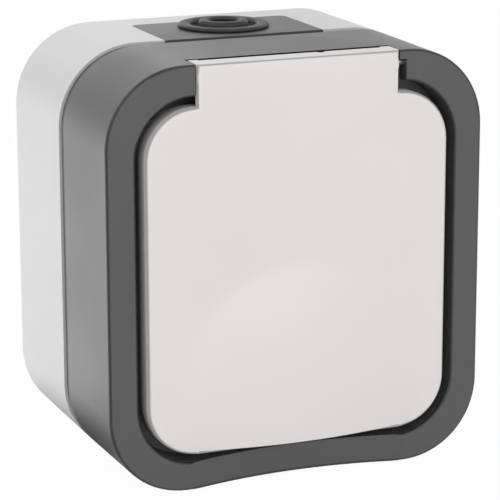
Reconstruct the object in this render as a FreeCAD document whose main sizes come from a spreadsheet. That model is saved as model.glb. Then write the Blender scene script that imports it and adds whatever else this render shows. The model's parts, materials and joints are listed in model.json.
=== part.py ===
"""Surface-mounted weatherproof socket outlet with a sprung, hinged lid.

Millimetres, Z up. The wall is the plane Y = 0 and the front looks along -Y, so a depth is a
distance from the wall towards the front. Z = 0 is the middle of the housing's height.
"""
import FreeCAD, Part
import math
import os
from types import SimpleNamespace

import Sketcher
from FreeCAD import Placement, Rotation, Vector

DOC = FreeCAD.newDocument("weatherproof_socket")

SIZES = [
    ("body_width", 66.4, "housing, side to side at the joint"),
    ("body_height", 71.0, "housing, top to bottom at the joint"),
    ("body_corner", 13.5, "outer corner radius"),
    ("box_depth", 24.3, "wall to the front rim of the box"),
    ("box_wall", 2.0, "side walls of the box"),
    ("box_floor", 2.2, "rear wall of the box"),
    ("box_edge", 0.6, "rounding of the box's rear edge"),
    ("seal_thickness", 0.5, "joint seal, along the depth"),
    ("seal_width", 1.1, "joint seal, across the wall"),
    ("seal_inset", 0.5, "joint seal, back from the outer face"),
    ("neck_depth", 2.0, "recessed neck at the rear of the frame"),
    ("neck_inset", 0.4, "neck, back from the outer face"),
    ("frame_depth", 20.4, "frame, neck to front face"),
    ("frame_draft", 0.6, "draft of the frame's sides, degrees"),
    ("frame_wall", 2.2, "side walls of the frame at the neck"),
    ("frame_front", 2.4, "thickness of the frame's front band"),
    ("frame_edge", 0.5, "rounding of the band's edges"),
    ("band_side", 5.2, "frame's outer face to the lid recess, at the sides"),
    ("band_top", 5.35, "frame's outer face to the lid recess, at the top"),
    ("band_bottom", 4.9, "frame's outer face to the lid recess, at the bottom"),
    ("opening_corner", 10.0, "corner radius of the lid recess"),
    ("recess_depth", 5.5, "front face to the ledge that carries the insert"),
    ("recess_wall", 1.5, "wall around the recess"),
    ("ledge_thickness", 1.5, "ledge that carries the insert"),
    ("scoop_inset", 8.7, "finger scoop, in from the side of the lid recess"),
    ("scoop_depth", 2.7, "finger scoop, at its deepest"),
    ("lid_gap_side", 1.45, "lid to the recess, at the sides"),
    ("lid_gap_top", 1.6, "lid to the recess, at its shoulders"),
    ("lid_gap_bottom", 1.55, "lid to the recess, at the bottom"),
    ("lid_corner", 8.5, "corner radius of the lid"),
    ("lid_proud", 0.5, "lid face in front of the frame's face"),
    ("lid_rim", 3.1, "depth of the lid's rim"),
    ("lid_wall", 1.8, "wall of the lid"),
    ("lid_edge", 1.0, "rounding of the lid's front edge"),
    ("dome_inset", 5.2, "dome, in from the sides of the lid"),
    ("dome_raise", 8.9, "centre of the dome above the lid's lower edge"),
    ("dome_rise", 3.0, "height of the dome over the lid's face"),
    ("tab_inset", 8.95, "hinge tab, in from the side of the lid"),
    ("tab_clearance", 0.25, "tab to the sides of its notch"),
    ("tab_wall", 1.2, "front wall of the tab"),
    ("tab_strip", 0.8, "top wall of the tab"),
    ("tab_edge", 1.0, "rounding between the tab's front and top"),
    ("hinge_sunk", 2.2, "hinge axis, behind the frame's front face"),
    ("hinge_drop", 2.5, "hinge axis below the top of the frame"),
    ("hinge_to_top", 2.35, "hinge axis to the top of the tab"),
    ("hinge_to_back", 1.15, "hinge axis to the back edge of the tab"),
    ("hinge_to_ear", 1.75, "hinge axis to the back of the tab's ears and knuckles"),
    ("ear_width", 1.6, "ears at the ends of the tab's back edge"),
    ("nick_place", 5.1, "half-round nick in the tab's back edge, from the middle"),
    ("nick_radius", 0.7, "half-round nick"),
    ("trough_radius", 3.5, "round trough that the tab turns in"),
    ("trough_wall", 1.8, "wall behind and beside the trough"),
    ("pin_radius", 0.75, "hinge pin"),
    ("pin_overhang", 1.6, "hinge pin, out of each side of the tab"),
    ("pin_running", 0.06, "radial play of the lid on its pin"),
    ("pin_held", 0.02, "radial play of the pin in the frame"),
    ("pin_slot_width", 1.3, "slot beside the tab where the pin goes in"),
    ("pin_slot_height", 3.7, "the same slot, up and down"),
    ("pin_slot_depth", 2.6, "the same slot, into the band"),
    ("knuckle_outer", 4.0, "width of the lid's outer knuckles"),
    ("knuckle_inner", 3.0, "width of the knuckles beside the spring"),
    ("spring_half", 4.0, "half width of the room for the spring"),
    ("spring_wire", 0.6, "spring wire diameter"),
    ("spring_mean", 1.15, "mean radius of the coil"),
    ("spring_turns", 10.0, "turns of the coil"),
    ("gasket_width", 1.6, "lid gasket, across"),
    ("gasket_lip", 0.65, "lid gasket in front of the rim"),
    ("insert_gap", 2.2, "insert to the walls of the recess, hidden by the lid"),
    ("insert_plate", 2.0, "front plate of the insert"),
    ("well_radius", 19.75, "plug well"),
    ("well_depth", 17.5, "plug well, front to floor"),
    ("well_wall", 1.5, "wall of the plug well"),
    ("well_floor", 2.0, "floor of the plug well"),
    ("well_mouth", 0.6, "bevel at the mouth of the well"),
    ("key_width", 5.4, "keys at the sides of the well"),
    ("key_reach", 2.4, "keys, in from the wall"),
    ("pin_hole_radius", 2.75, "holes for the plug's pins"),
    ("pin_spacing", 19.0, "centre to centre of the plug's pins"),
    ("earth_slot_width", 5.2, "slots for the earth clips"),
    ("earth_slot_inner", 18.0, "slots, inner end from the axis"),
    ("earth_slot_outer", 20.6, "slots, outer end from the axis"),
    ("ledge_hole", 23.0, "round hole in the ledge around the well"),
    ("carrier_half", 20.0, "contact carrier, half width"),
    ("carrier_high", 10.0, "contact carrier, half height"),
    ("carrier_corner", 4.0, "contact carrier, corner radius"),
    ("carrier_depth", 14.0, "contact carrier, front to rear"),
    ("chamber_half", 3.9, "contact chamber, half width"),
    ("chamber_high", 4.2, "contact chamber, half height"),
    ("chamber_web", 1.0, "rear web of the contact chamber"),
    ("contact_width", 6.0, "width of a contact spring"),
    ("contact_sheet", 0.6, "brass sheet of the contacts"),
    ("contact_grip", 2.25, "half distance between the springs where they grip"),
    ("clamp_width", 5.6, "terminal block, width"),
    ("clamp_high", 4.0, "terminal block, half height"),
    ("clamp_depth", 6.0, "terminal block, along the depth"),
    ("wire_hole", 1.5, "radius of a wire hole"),
    ("m3_radius", 1.45, "terminal screw, shank radius"),
    ("m3_head", 2.6, "terminal screw, head radius"),
    ("m3_head_height", 1.5, "terminal screw, head height"),
    ("screw_play", 0.05, "radial play around screws"),
    ("strap_sheet", 0.8, "earth strap, thickness"),
    ("strap_width", 4.6, "earth strap, width"),
    ("strap_reach", 20.2, "earth strap, axis to outer face of a clip"),
    ("strap_bulge", 17.2, "earth strap, axis to the bend that grips"),
    ("cover_screw_in", 9.5, "cover screws, in from the side of the lid recess"),
    ("cover_screw_down", 9.15, "cover screws, in from the top of the lid recess"),
    ("cover_screw_radius", 1.7, "cover screws, shank radius"),
    ("cover_screw_head", 3.0, "cover screws, head radius"),
    ("cover_screw_length", 28.0, "cover screws, under the head"),
    ("head_height", 1.5, "heads of the cover and centre screws"),
    ("head_sink", 0.8, "screw heads, sunk into the insert"),
    ("driver_slot", 0.9, "width of a screwdriver slot"),
    ("driver_depth", 0.8, "depth of a screwdriver slot"),
    ("centre_screw_radius", 1.6, "centre screw, shank radius"),
    ("centre_screw_length", 12.0, "centre screw, under the head"),
    ("post_radius", 3.5, "screw posts of the box and frame"),
    ("post_gap", 0.2, "gap between the two rows of posts"),
    ("fixing_x", 20.0, "fixing slots beside the middle"),
    ("fixing_radius", 2.2, "fixing slots, half width"),
    ("fixing_length", 8.0, "fixing slots, end to end"),
    ("drain_radius", 3.0, "knock-out for condensation in the underside"),
    ("drain_sink", 0.6, "the same knock-out, depth of its ring"),
    ("entry_inset", 5.45, "entry plate, in from the start of the housing's corners"),
    ("entry_rear", 7.0, "entry plate, rear edge from the wall"),
    ("entry_corner", 1.5, "entry plate, rear corners"),
    ("entry_play", 0.1, "entry plate in its cut-out"),
    ("entry_flange", 1.5, "flange of the entry plate, out from the edge"),
    ("entry_flange_thick", 1.0, "flange of the entry plate, thickness"),
    ("entry_lip", 1.1, "rounding of the entry plate's front edge"),
    ("entry_back", 7.4, "centre of the cable entry, in front of the plate's rear edge"),
    ("grommet_bead", 7.9, "grommet, outer bead radius"),
    ("grommet_neck", 6.5, "grommet, neck radius"),
    ("grommet_foot", 7.6, "grommet, radius under the plate"),
    ("grommet_moat_outer", 5.7, "grommet, moat, outer radius"),
    ("grommet_moat_inner", 4.3, "grommet, moat, inner radius"),
    ("grommet_hole", 2.5, "grommet, cable entry radius"),
    ("grommet_low", 0.75, "grommet, height of the outer bead"),
    ("grommet_high", 1.3, "grommet, height of the inner bead"),
    ("grommet_round", 0.5, "grommet, height and width of the bevelled crests"),
    ("grommet_sink", 2.0, "grommet, membrane below the plate's top"),
    ("grommet_skin", 0.6, "grommet, membrane thickness"),
]


class Size:
    """A length that keeps the spreadsheet formula it comes from beside its value."""

    def __init__(self, value, formula):
        self.value = value
        self.formula = formula

    @staticmethod
    def of(other):
        """Wraps a plain number, such as the 2 of a half."""
        return other if isinstance(other, Size) else Size(float(other), repr(other))

    def __add__(self, other):
        other = Size.of(other)
        return Size(self.value + other.value, f"({self.formula} + {other.formula})")

    def __sub__(self, other):
        other = Size.of(other)
        return Size(self.value - other.value, f"({self.formula} - {other.formula})")

    def __mul__(self, other):
        other = Size.of(other)
        return Size(self.value * other.value, f"({self.formula} * {other.formula})")

    def __truediv__(self, other):
        other = Size.of(other)
        return Size(self.value / other.value, f"({self.formula} / {other.formula})")

    def __neg__(self):
        return Size(-self.value, f"(0 - {self.formula})")


def root(size):
    """Square root of a size made of two lengths multiplied."""
    return Size(math.sqrt(size.value), f"sqrt({size.formula})")


def bow(half_chord, rise):
    """Radius of the arc over a chord that rises by a given amount in its middle."""
    return (half_chord * half_chord + rise * rise) / (rise * 2)


def make_sheet():
    """Writes the driving dimensions to the spreadsheet and returns them by name."""
    sheet = DOC.addObject("Spreadsheet::Sheet", "Sizes")
    values = {}
    for row, (alias, value, meaning) in enumerate(SIZES, start=1):
        sheet.set(f"A{row}", meaning)
        sheet.set(f"B{row}", str(value))
        sheet.setAlias(f"B{row}", alias)
        values[alias] = Size(value, f"Sizes.{alias}")
    DOC.recompute()
    return SimpleNamespace(**values)


q = make_sheet()
ZERO = Size(0.0, "0")

# Depths and heights that several pieces share.
joint = q.box_depth + q.seal_thickness
shoulder = joint + q.neck_depth
front = shoulder + q.frame_depth
ledge_front = front - q.recess_depth
ledge_rear = ledge_front - q.ledge_thickness
insert_front = ledge_front + q.insert_plate
well_floor_front = insert_front - q.well_depth
well_rear = well_floor_front - q.well_floor
well_outer = q.well_radius + q.well_wall
carrier_rear = well_rear - q.carrier_depth
opening_half = q.body_width / 2 - q.band_side
opening_top = q.body_height / 2 - q.band_top
opening_bottom = q.body_height / 2 - q.band_bottom
scoop_half = opening_half - q.scoop_inset
cover_screw_x = opening_half - q.cover_screw_in
cover_screw_z = opening_top - q.cover_screw_down
lid_half = opening_half - q.lid_gap_side
lid_top = opening_top - q.lid_gap_top
lid_bottom = opening_bottom - q.lid_gap_bottom
lid_face = front + q.lid_proud
lid_rear = lid_face - q.lid_rim
lid_inside = lid_face - q.lid_wall
dome_apex = lid_face + q.dome_rise
dome_radius = lid_half - q.dome_inset
dome_drop = lid_bottom - q.dome_raise
dome_sphere = bow(dome_radius, q.dome_rise)
tab_half = lid_half - q.tab_inset
notch_half = tab_half + q.tab_clearance
pin_reach = tab_half + q.pin_overhang
hinge_depth = front - q.hinge_sunk
hinge_height = q.body_height / 2 - q.hinge_drop
entry_half = q.body_width / 2 - q.body_corner - q.entry_inset
entry_centre = q.entry_rear + q.entry_back
body_top = q.body_height / 2
body_side = q.body_width / 2
frame_cavity_half = body_side - q.frame_wall
frame_cavity_top = body_top - q.frame_wall
frame_cavity_corner = q.body_corner - q.frame_wall
pin_half = q.pin_spacing / 2
contact_rear = carrier_rear + q.chamber_web + q.entry_play
contact_tail_front = contact_rear + q.strap_sheet
clamp_x = pin_half + q.contact_width / 2 + q.clamp_width / 2 + q.contact_sheet


def bind(thing, prop, size):
    """Binds a property of an object to the spreadsheet."""
    thing.setExpression(prop, size.formula)


def body(label):
    """Starts a sub-part that is modelled with sketches and features."""
    made = DOC.addObject("PartDesign::Body", label)
    made.Label = label
    return made


def sketch(part, plane, name, offset=None):
    """Adds a sketch on one of the body's own planes, moved along the plane's normal."""
    made = part.newObject("Sketcher::SketchObject", name)
    support = next(f for f in part.Origin.OriginFeatures if f.Role == plane + "_Plane")
    made.AttachmentSupport = [(support, "")]
    made.MapMode = "FlatFace"
    if offset is not None:
        made.AttachmentOffset = Placement(Vector(0, 0, offset.value), Rotation())
        bind(made, "AttachmentOffset.Base.z", offset)
    return made


def fix(sk, kind, geometry, point, size):
    """Fixes how far a point of a sketch lies from the origin, along X or Y."""
    if size.formula == "0":
        axis = -2 if kind == "DistanceX" else -1
        sk.addConstraint(Sketcher.Constraint("PointOnObject", geometry, point, axis))
        return
    index = sk.addConstraint(Sketcher.Constraint(kind, -1, 1, geometry, point, size.value))
    sk.renameConstraint(index, f"{kind[-1].lower()}_{geometry}_{point}")
    bind(sk, f"Constraints[{index}]", size)


def fix_radius(sk, geometry, size):
    """Fixes the radius of a circle or arc in a sketch."""
    index = sk.addConstraint(Sketcher.Constraint("Radius", geometry, size.value))
    sk.renameConstraint(index, f"radius_{geometry}")
    bind(sk, f"Constraints[{index}]", size)


def circle(sk, x, y, radius):
    """Draws a circle at a place given by two sizes."""
    made = sk.addGeometry(Part.Circle(Vector(x.value, y.value, 0), Vector(0, 0, 1), radius.value))
    fix(sk, "DistanceX", made, 3, x)
    fix(sk, "DistanceY", made, 3, y)
    fix_radius(sk, made, radius)


def outline(sk, points, arcs=None):
    """Draws a closed outline through points; arcs maps an edge's number to (radius, side).

    Side is 1 for an arc that bulges to the right of its run, and -1 for the left.
    """
    arcs = arcs or {}
    corners = [Vector(x.value, y.value, 0) for x, y in points]
    edges = []
    for number, start in enumerate(corners):
        end = corners[(number + 1) % len(corners)]
        if number not in arcs:
            edges.append(sk.addGeometry(Part.LineSegment(start, end)))
            continue
        radius, side = arcs[number]
        chord = end - start
        across = Vector(chord.y, -chord.x, 0).normalize() * side
        sag = radius.value - math.sqrt(max(radius.value ** 2 - (chord.Length / 2) ** 2, 0))
        edges.append(sk.addGeometry(Part.Arc(start, (start + end) / 2 + across * sag, end)))
    for number, edge in enumerate(edges):
        start_point = arc_end(sk, edge, corners[number])
        end_point = arc_end(sk, edges[number - 1], corners[number])
        sk.addConstraint(Sketcher.Constraint("Coincident", edges[number - 1], end_point, edge, start_point))
        fix(sk, "DistanceX", edge, start_point, points[number][0])
        fix(sk, "DistanceY", edge, start_point, points[number][1])
        if number in arcs:
            fix_radius(sk, edge, arcs[number][0])


def arc_end(sk, edge, place):
    """Tells which end of an edge, 1 or 2, lies at a place."""
    return min((1, 2), key=lambda point: (sk.getPoint(edge, point) - place).Length)


def rectangle(sk, left, right, bottom, top):
    """Draws an upright rectangle."""
    outline(sk, [(left, bottom), (right, bottom), (right, top), (left, top)])


def rounded(sk, half, bottom, top, radius):
    """Draws a rounded rectangle that is centred on the sketch's Y axis; bottom is a drop."""
    left, low = -half, -bottom
    r, right, high, x0, y0 = radius.value, half.value, top.value, left.value, low.value
    flat = Vector(0, 0, 1)
    corner = [
        (right - r, high - r, 0.0),
        (x0 + r, high - r, 0.5),
        (x0 + r, y0 + r, 1.0),
        (right - r, y0 + r, 1.5),
    ]
    line_ends = [
        ((right, y0 + r), (right, high - r)),
        ((right - r, high), (x0 + r, high)),
        ((x0, high - r), (x0, y0 + r)),
        ((x0 + r, y0), (right - r, y0)),
    ]
    lines = []
    arcs = []
    for (start, end), (cx, cy, turn) in zip(line_ends, corner):
        lines.append(sk.addGeometry(Part.LineSegment(Vector(*start, 0), Vector(*end, 0))))
        round_edge = Part.ArcOfCircle(
            Part.Circle(Vector(cx, cy, 0), flat, r), turn * math.pi, (turn + 0.5) * math.pi
        )
        arcs.append(sk.addGeometry(round_edge))
    for number in range(4):
        following = lines[(number + 1) % 4]
        sk.addConstraint(Sketcher.Constraint("Tangent", lines[number], 2, arcs[number], 1))
        sk.addConstraint(Sketcher.Constraint("Tangent", arcs[number], 2, following, 1))
    for number, kind in enumerate(("Vertical", "Horizontal", "Vertical", "Horizontal")):
        sk.addConstraint(Sketcher.Constraint(kind, lines[number]))
    for arc in arcs[1:]:
        sk.addConstraint(Sketcher.Constraint("Equal", arcs[0], arc))
    fix_radius(sk, arcs[0], radius)
    fix(sk, "DistanceX", lines[0], 1, half)
    fix(sk, "DistanceY", lines[1], 1, top)
    fix(sk, "DistanceX", lines[2], 1, left)
    fix(sk, "DistanceY", lines[3], 1, low)


def slot(sk, x, y, half_length, radius):
    """Draws a slot along X with round ends."""
    flat = half_length - radius
    arcs = []
    for place, turn in ((x + flat, -0.5), (x - flat, 0.5)):
        ring = Part.Circle(Vector(place.value, y.value, 0), Vector(0, 0, 1), radius.value)
        arcs.append(sk.addGeometry(Part.ArcOfCircle(ring, turn * math.pi, (turn + 1) * math.pi)))
        fix(sk, "DistanceX", arcs[-1], 3, place)
        fix(sk, "DistanceY", arcs[-1], 3, y)
    for first, second in (arcs, arcs[::-1]):
        ends = sk.getPoint(first, 2), sk.getPoint(second, 1)
        line = sk.addGeometry(Part.LineSegment(*ends))
        sk.addConstraint(Sketcher.Constraint("Tangent", first, 2, line, 1))
        sk.addConstraint(Sketcher.Constraint("Tangent", line, 2, second, 1))
    fix_radius(sk, arcs[0], radius)
    sk.addConstraint(Sketcher.Constraint("Equal", arcs[0], arcs[1]))


def volume(part):
    """Volume of a body so far."""
    DOC.recompute()
    return part.Shape.Volume if part.Shape and not part.Shape.isNull() else 0.0


def feature(part, kind, profile, name, length=None, symmetric=False, reverse=False):
    """Adds a feature that a sketch drives and makes sure that it changed the body."""
    before = volume(part)
    made = part.newObject(f"PartDesign::{kind}", name)
    made.Profile = profile
    if length is not None:
        made.Length = length.value
        bind(made, "Length", length)
    if symmetric:
        made.SideType = "Symmetric"
    made.Reversed = reverse
    after = volume(part)
    grows = kind in ("Pad", "Revolution")
    if (after > before) != grows or abs(after - before) < 1e-6:
        raise RuntimeError(f"{part.Label}: {name} took the volume from {before} to {after}")
    return made


def pad(part, profile, length, name, symmetric=False, reverse=False):
    """Adds material along the sketch's normal."""
    return feature(part, "Pad", profile, name, length, symmetric, reverse)


def pocket(part, profile, length, name, symmetric=False, reverse=False):
    """Takes material away against the sketch's normal."""
    return feature(part, "Pocket", profile, name, length, symmetric, reverse)


def revolve(part, profile, name, axis="V_Axis"):
    """Turns a sketch through a full circle about one of its axes."""
    before = volume(part)
    made = part.newObject("PartDesign::Revolution", name)
    made.Profile = profile
    made.ReferenceAxis = (profile, [axis])
    made.Angle = 360
    if volume(part) <= before:
        raise RuntimeError(f"{part.Label}: {name} added nothing")
    return made


def edges_where(shape, test):
    """Names of the edges whose middle point passes a test."""
    names = []
    for number, edge in enumerate(shape.Edges, start=1):
        middle = edge.valueAt((edge.FirstParameter + edge.LastParameter) / 2)
        if test(edge, middle):
            names.append(f"Edge{number}")
    return names


def dress(part, kind, size, name, test):
    """Rounds or bevels the edges of a body that pass a test."""
    DOC.recompute()
    base = part.Tip
    chosen = edges_where(base.Shape, test)
    if not chosen:
        raise RuntimeError(f"{part.Label}: {name} finds no edge")
    made = part.newObject(f"PartDesign::{kind}", name)
    made.Base = (base, chosen)
    prop = "Radius" if kind == "Fillet" else "Size"
    setattr(made, prop, size.value)
    bind(made, prop, size)
    DOC.recompute()
    return made


def min_of(first, second):
    """The lesser of two sizes."""
    return first if first.value < second.value else second


def max_of(first, second):
    """The greater of two sizes."""
    return first if first.value > second.value else second


def near(value, size, tolerance=0.02):
    """Tells whether a coordinate lies at a size."""
    return abs(value - size.value) < tolerance


def back_box():
    """Wall box: tapered corners, rear wall with two slots, screw posts, cut-out for the entry plate."""
    part = body("back_box")
    shell = sketch(part, "XZ", "box_outline")
    rounded(shell, body_side, body_top, body_top, q.body_corner)
    pad(part, shell, q.box_depth, "box_block")
    dress(part, "Fillet", q.box_edge, "rear_rounding", lambda edge, p: near(p.y, ZERO))
    hollow = sketch(part, "XZ", "box_inside", q.box_depth)
    inner_side, inner_top = body_side - q.box_wall, body_top - q.box_wall
    rounded(hollow, inner_side, inner_top, inner_top, q.body_corner - q.box_wall)
    pocket(part, hollow, q.box_depth - q.box_floor, "box_hollow")
    posts = sketch(part, "XZ", "post_places", q.box_floor / 2)
    for side in (1, -1):
        circle(posts, cover_screw_x * side, cover_screw_z * side, q.post_radius)
    pad(part, posts, q.box_depth - q.box_floor / 2, "posts")
    holes = sketch(part, "XZ", "post_holes", q.box_depth)
    for side in (1, -1):
        circle(holes, cover_screw_x * side, cover_screw_z * side, q.cover_screw_radius + q.screw_play)
    screw_end = insert_front - q.head_sink - q.cover_screw_length
    pocket(part, holes, q.box_depth - screw_end + q.screw_play, "post_bores")
    slots = sketch(part, "XZ", "fixing_places", q.box_floor)
    for side in (1, -1):
        slot(slots, q.fixing_x * side, ZERO, q.fixing_length / 2, q.fixing_radius)
    pocket(part, slots, q.box_floor, "fixing_slots")
    gate = sketch(part, "XY", "entry_cut", body_top)
    entry_outline(gate, entry_half + q.entry_play, q.entry_rear - q.entry_play, q.box_depth)
    pocket(part, gate, q.box_wall, "entry_cut_out")
    drain = sketch(part, "XY", "drain_ring", -body_top)
    circle(drain, ZERO, -q.box_depth / 2, q.drain_radius)
    circle(drain, ZERO, -q.box_depth / 2, q.drain_radius - q.drain_sink)
    pocket(part, drain, q.drain_sink, "drain_mark", reverse=True)
    return part


def entry_outline(sk, half, rear, front_depth):
    """Draws the entry plate from above: square at the front, rounded at the rear corners."""
    r = q.entry_corner
    outline(
        sk,
        [
            (half, -front_depth),
            (half, -(rear + r)),
            (half - r, -rear),
            (r - half, -rear),
            (-half, -(rear + r)),
            (-half, -front_depth),
        ],
        {1: (r, 1), 3: (r, 1)},
    )


def box_seal():
    """Flat ring in the joint, set back from the outer face and open where the entry plate passes."""
    part = body("box_seal")
    ring = sketch(part, "XZ", "ring", q.box_depth)
    outer = q.seal_inset
    inner = q.seal_inset + q.seal_width
    for inset in (outer, inner):
        rounded(ring, body_side - inset, body_top - inset, body_top - inset, q.body_corner - inset)
    pad(part, ring, q.seal_thickness, "seal_ring")
    gap = sketch(part, "XZ", "entry_gap", joint)
    half = entry_half + q.entry_play
    rectangle(gap, -half, half, body_top - q.box_wall - q.seal_inset, body_top)
    pocket(part, gap, q.seal_thickness, "entry_opening")
    return part


def entry_plate():
    """Slide-in plate in the top of the box, with a flange below and a rounded front edge."""
    part = body("entry_plate")
    end = shoulder - q.entry_play * 2
    top = sketch(part, "XY", "plate_outline", body_top)
    entry_outline(top, entry_half, q.entry_rear, end)
    pad(part, top, q.box_wall + q.entry_play, "plate", reverse=True)
    dress(
        part,
        "Fillet",
        q.entry_lip,
        "front_lip",
        lambda edge, p: near(p.y, -end) and near(p.z, body_top),
    )
    flange = sketch(part, "XY", "flange_outline", body_top - q.box_wall - q.entry_play)
    wide = entry_half + q.entry_flange
    rectangle(flange, -wide, wide, -(q.box_depth - q.entry_play), -(q.entry_rear - q.entry_flange))
    pad(part, flange, q.entry_flange_thick, "flange", reverse=True)
    hole = sketch(part, "XY", "grommet_place", body_top)
    circle(hole, ZERO, -entry_centre, q.grommet_neck + q.screw_play)
    pocket(part, hole, q.box_wall + q.entry_flange_thick + q.entry_play * 2, "grommet_hole")
    return part


def entry_grommet():
    """Soft membrane grommet: two rounded rings, a moat between them and a thin floor."""
    part = body("entry_grommet")
    section = sketch(part, "XZ", "section")
    under = -(q.box_wall + q.entry_flange_thick + q.entry_play * 2)
    floor = -q.grommet_sink
    low, high = q.grommet_low, q.grommet_high
    moat = -q.entry_play * 3
    bead_side = low - q.grommet_round
    ring_side = high - q.grommet_round
    bevel = q.grommet_round
    foot = under - q.entry_flange_thick
    outline(
        section,
        [
            (ZERO, floor),
            (q.grommet_hole, floor),
            (q.grommet_hole, ring_side),
            (q.grommet_hole + bevel, high),
            (q.grommet_moat_inner - bevel, high),
            (q.grommet_moat_inner, ring_side),
            (q.grommet_moat_inner, moat),
            (q.grommet_moat_outer, moat),
            (q.grommet_moat_outer, bead_side),
            (q.grommet_moat_outer + bevel, low),
            (q.grommet_bead - bevel, low),
            (q.grommet_bead, bead_side),
            (q.grommet_bead - q.seal_thickness, ZERO),
            (q.grommet_neck, ZERO),
            (q.grommet_neck, under),
            (q.grommet_foot, under),
            (q.grommet_foot, foot),
            (q.grommet_moat_outer, foot),
            (q.grommet_moat_outer, floor - q.grommet_skin),
            (ZERO, floor - q.grommet_skin),
        ],
    )
    revolve(part, section, "turned")
    bind(part, "Placement.Base.y", -entry_centre)
    bind(part, "Placement.Base.z", body_top)
    return part


def front_frame():
    """Dark frame: drafted sides, lid recess with ledge, hinge trough, lower finger scoop."""
    part = body("front_frame")
    neck = sketch(part, "XZ", "neck_outline", joint)
    inset = q.neck_inset
    rounded(neck, body_side - inset, body_top - inset, body_top - inset, q.body_corner - inset)
    pad(part, neck, q.neck_depth, "neck")
    sides = sketch(part, "XZ", "side_outline", shoulder)
    rounded(sides, body_side, body_top, body_top, q.body_corner)
    block = pad(part, sides, q.frame_depth, "sides")
    bind(block, "TaperAngle", -q.frame_draft)
    cavity = sketch(part, "XZ", "cavity_outline", joint)
    rounded(cavity, frame_cavity_half, frame_cavity_top, frame_cavity_top, frame_cavity_corner)
    pocket(part, cavity, front - q.frame_front - joint, "cavity", reverse=True)
    frame_recess(part)
    round_frame(part)
    frame_hinge(part)
    frame_scoop(part)
    gap = sketch(part, "XZ", "entry_gap", shoulder - q.entry_play)
    half = entry_half + q.entry_play
    rectangle(gap, -half, half, frame_cavity_top - q.entry_play, body_top)
    pocket(part, gap, q.neck_depth, "entry_opening")
    return part


def frame_recess(part):
    """Recess for the lid and insert: wall, ledge with a round hole, and two screw posts."""
    wall = sketch(part, "XZ", "recess_wall_outline", ledge_rear)
    around = q.recess_wall
    rounded(
        wall,
        opening_half + around,
        opening_bottom + around,
        opening_top + around,
        q.opening_corner + around,
    )
    pad(part, wall, front - q.frame_front - ledge_rear, "recess_block")
    backing = sketch(part, "XZ", "backing_outline", ledge_rear - q.recess_wall / 3)
    wide = notch_half + q.trough_wall
    rectangle(backing, -wide, wide, opening_top - around, frame_cavity_top + q.entry_play)
    rectangle(
        backing,
        -(scoop_half + around),
        scoop_half + around,
        -(frame_cavity_top + q.entry_play),
        around - opening_bottom,
    )
    pad(part, backing, front - q.frame_front - ledge_rear + q.recess_wall / 3, "backing")
    opening = sketch(part, "XZ", "opening_outline", front)
    rounded(opening, opening_half, opening_bottom, opening_top, q.opening_corner)
    pocket(part, opening, q.recess_depth, "recess")
    hole = sketch(part, "XZ", "well_place", ledge_front)
    circle(hole, ZERO, ZERO, q.ledge_hole)
    pocket(part, hole, q.ledge_thickness + q.recess_wall, "well_hole")
    posts = sketch(part, "XZ", "post_places", ledge_rear + q.ledge_thickness / 2)
    for side in (1, -1):
        circle(posts, cover_screw_x * side, cover_screw_z * side, q.post_radius)
    post_rear = q.box_depth + q.post_gap
    pad(part, posts, ledge_rear + q.ledge_thickness / 2 - post_rear, "posts", reverse=True)
    bores = sketch(part, "XZ", "post_bores", ledge_front)
    for side in (1, -1):
        circle(
            bores,
            cover_screw_x * side,
            cover_screw_z * side,
            q.cover_screw_radius + q.screw_play * 4,
        )
    pocket(part, bores, ledge_front - post_rear, "screw_bores")


def frame_hinge(part):
    """Notch and round trough for the lid's tab, holes for its pin, and the slot beside it."""
    notch = sketch(part, "XZ", "notch_outline", front)
    rectangle(notch, -notch_half, notch_half, opening_top - q.recess_wall, body_top + q.recess_wall)
    pocket(part, notch, front - hinge_depth, "notch")
    trough = sketch(part, "YZ", "trough_circle")
    circle(trough, -hinge_depth, hinge_height, q.trough_radius)
    pocket(part, trough, notch_half * 2, "trough", symmetric=True)
    hole = sketch(part, "YZ", "pin_circle")
    circle(hole, -hinge_depth, hinge_height, q.pin_radius + q.pin_held)
    pocket(part, hole, (pin_reach + q.screw_play) * 2, "pin_holes", symmetric=True)
    slot_shape = sketch(part, "XZ", "pin_slot_outline", front)
    top = hinge_height + q.pin_radius + q.pin_held
    near_side = notch_half - q.screw_play
    rectangle(slot_shape, near_side, near_side + q.pin_slot_width, top - q.pin_slot_height, top)
    pocket(part, slot_shape, q.pin_slot_depth, "pin_slot")


def frame_scoop(part):
    """Finger scoop: a large upright cylinder takes the middle of the lower band back."""
    radius = bow(scoop_half, q.scoop_depth)
    scoop = sketch(part, "XY", "scoop_circle", -(opening_bottom - q.recess_wall))
    circle(scoop, ZERO, -(front - q.scoop_depth + radius), radius)
    pocket(part, scoop, body_top - opening_bottom + q.recess_wall * 2, "scoop")


def round_frame(part):
    """Rounds the outer and inner edges of the front band, before notch and scoop cut into it."""
    wide = (opening_half + q.frame_edge).value
    high = max(opening_top.value, opening_bottom.value) + q.frame_edge.value

    def at_outside(edge, p):
        return near(p.y, -front) and (abs(p.x) > wide or abs(p.z) > high)

    def at_opening(edge, p):
        return near(p.y, -front) and abs(p.x) < wide and abs(p.z) < high

    dress(part, "Fillet", q.frame_edge, "outer_rounding", at_outside)
    dress(part, "Fillet", q.frame_edge, "inner_rounding", at_opening)


def lid():
    """Cover: shelled panel, dome with a finger lip, tab that wraps over the top, knuckles."""
    panel = lid_panel()
    dome = lid_dome()
    outside = DOC.addObject("Part::Fuse", "lid_outside")
    outside.Base = panel
    outside.Tool = dome
    inside = DOC.addObject("Part::Fuse", "lid_inside")
    inside.Base = lid_hollow()
    inside.Tool = lid_dome_hollow()
    made = DOC.addObject("Part::Cut", "lid")
    made.Base = outside
    made.Tool = inside
    made.Label = "lid"
    return made


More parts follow.
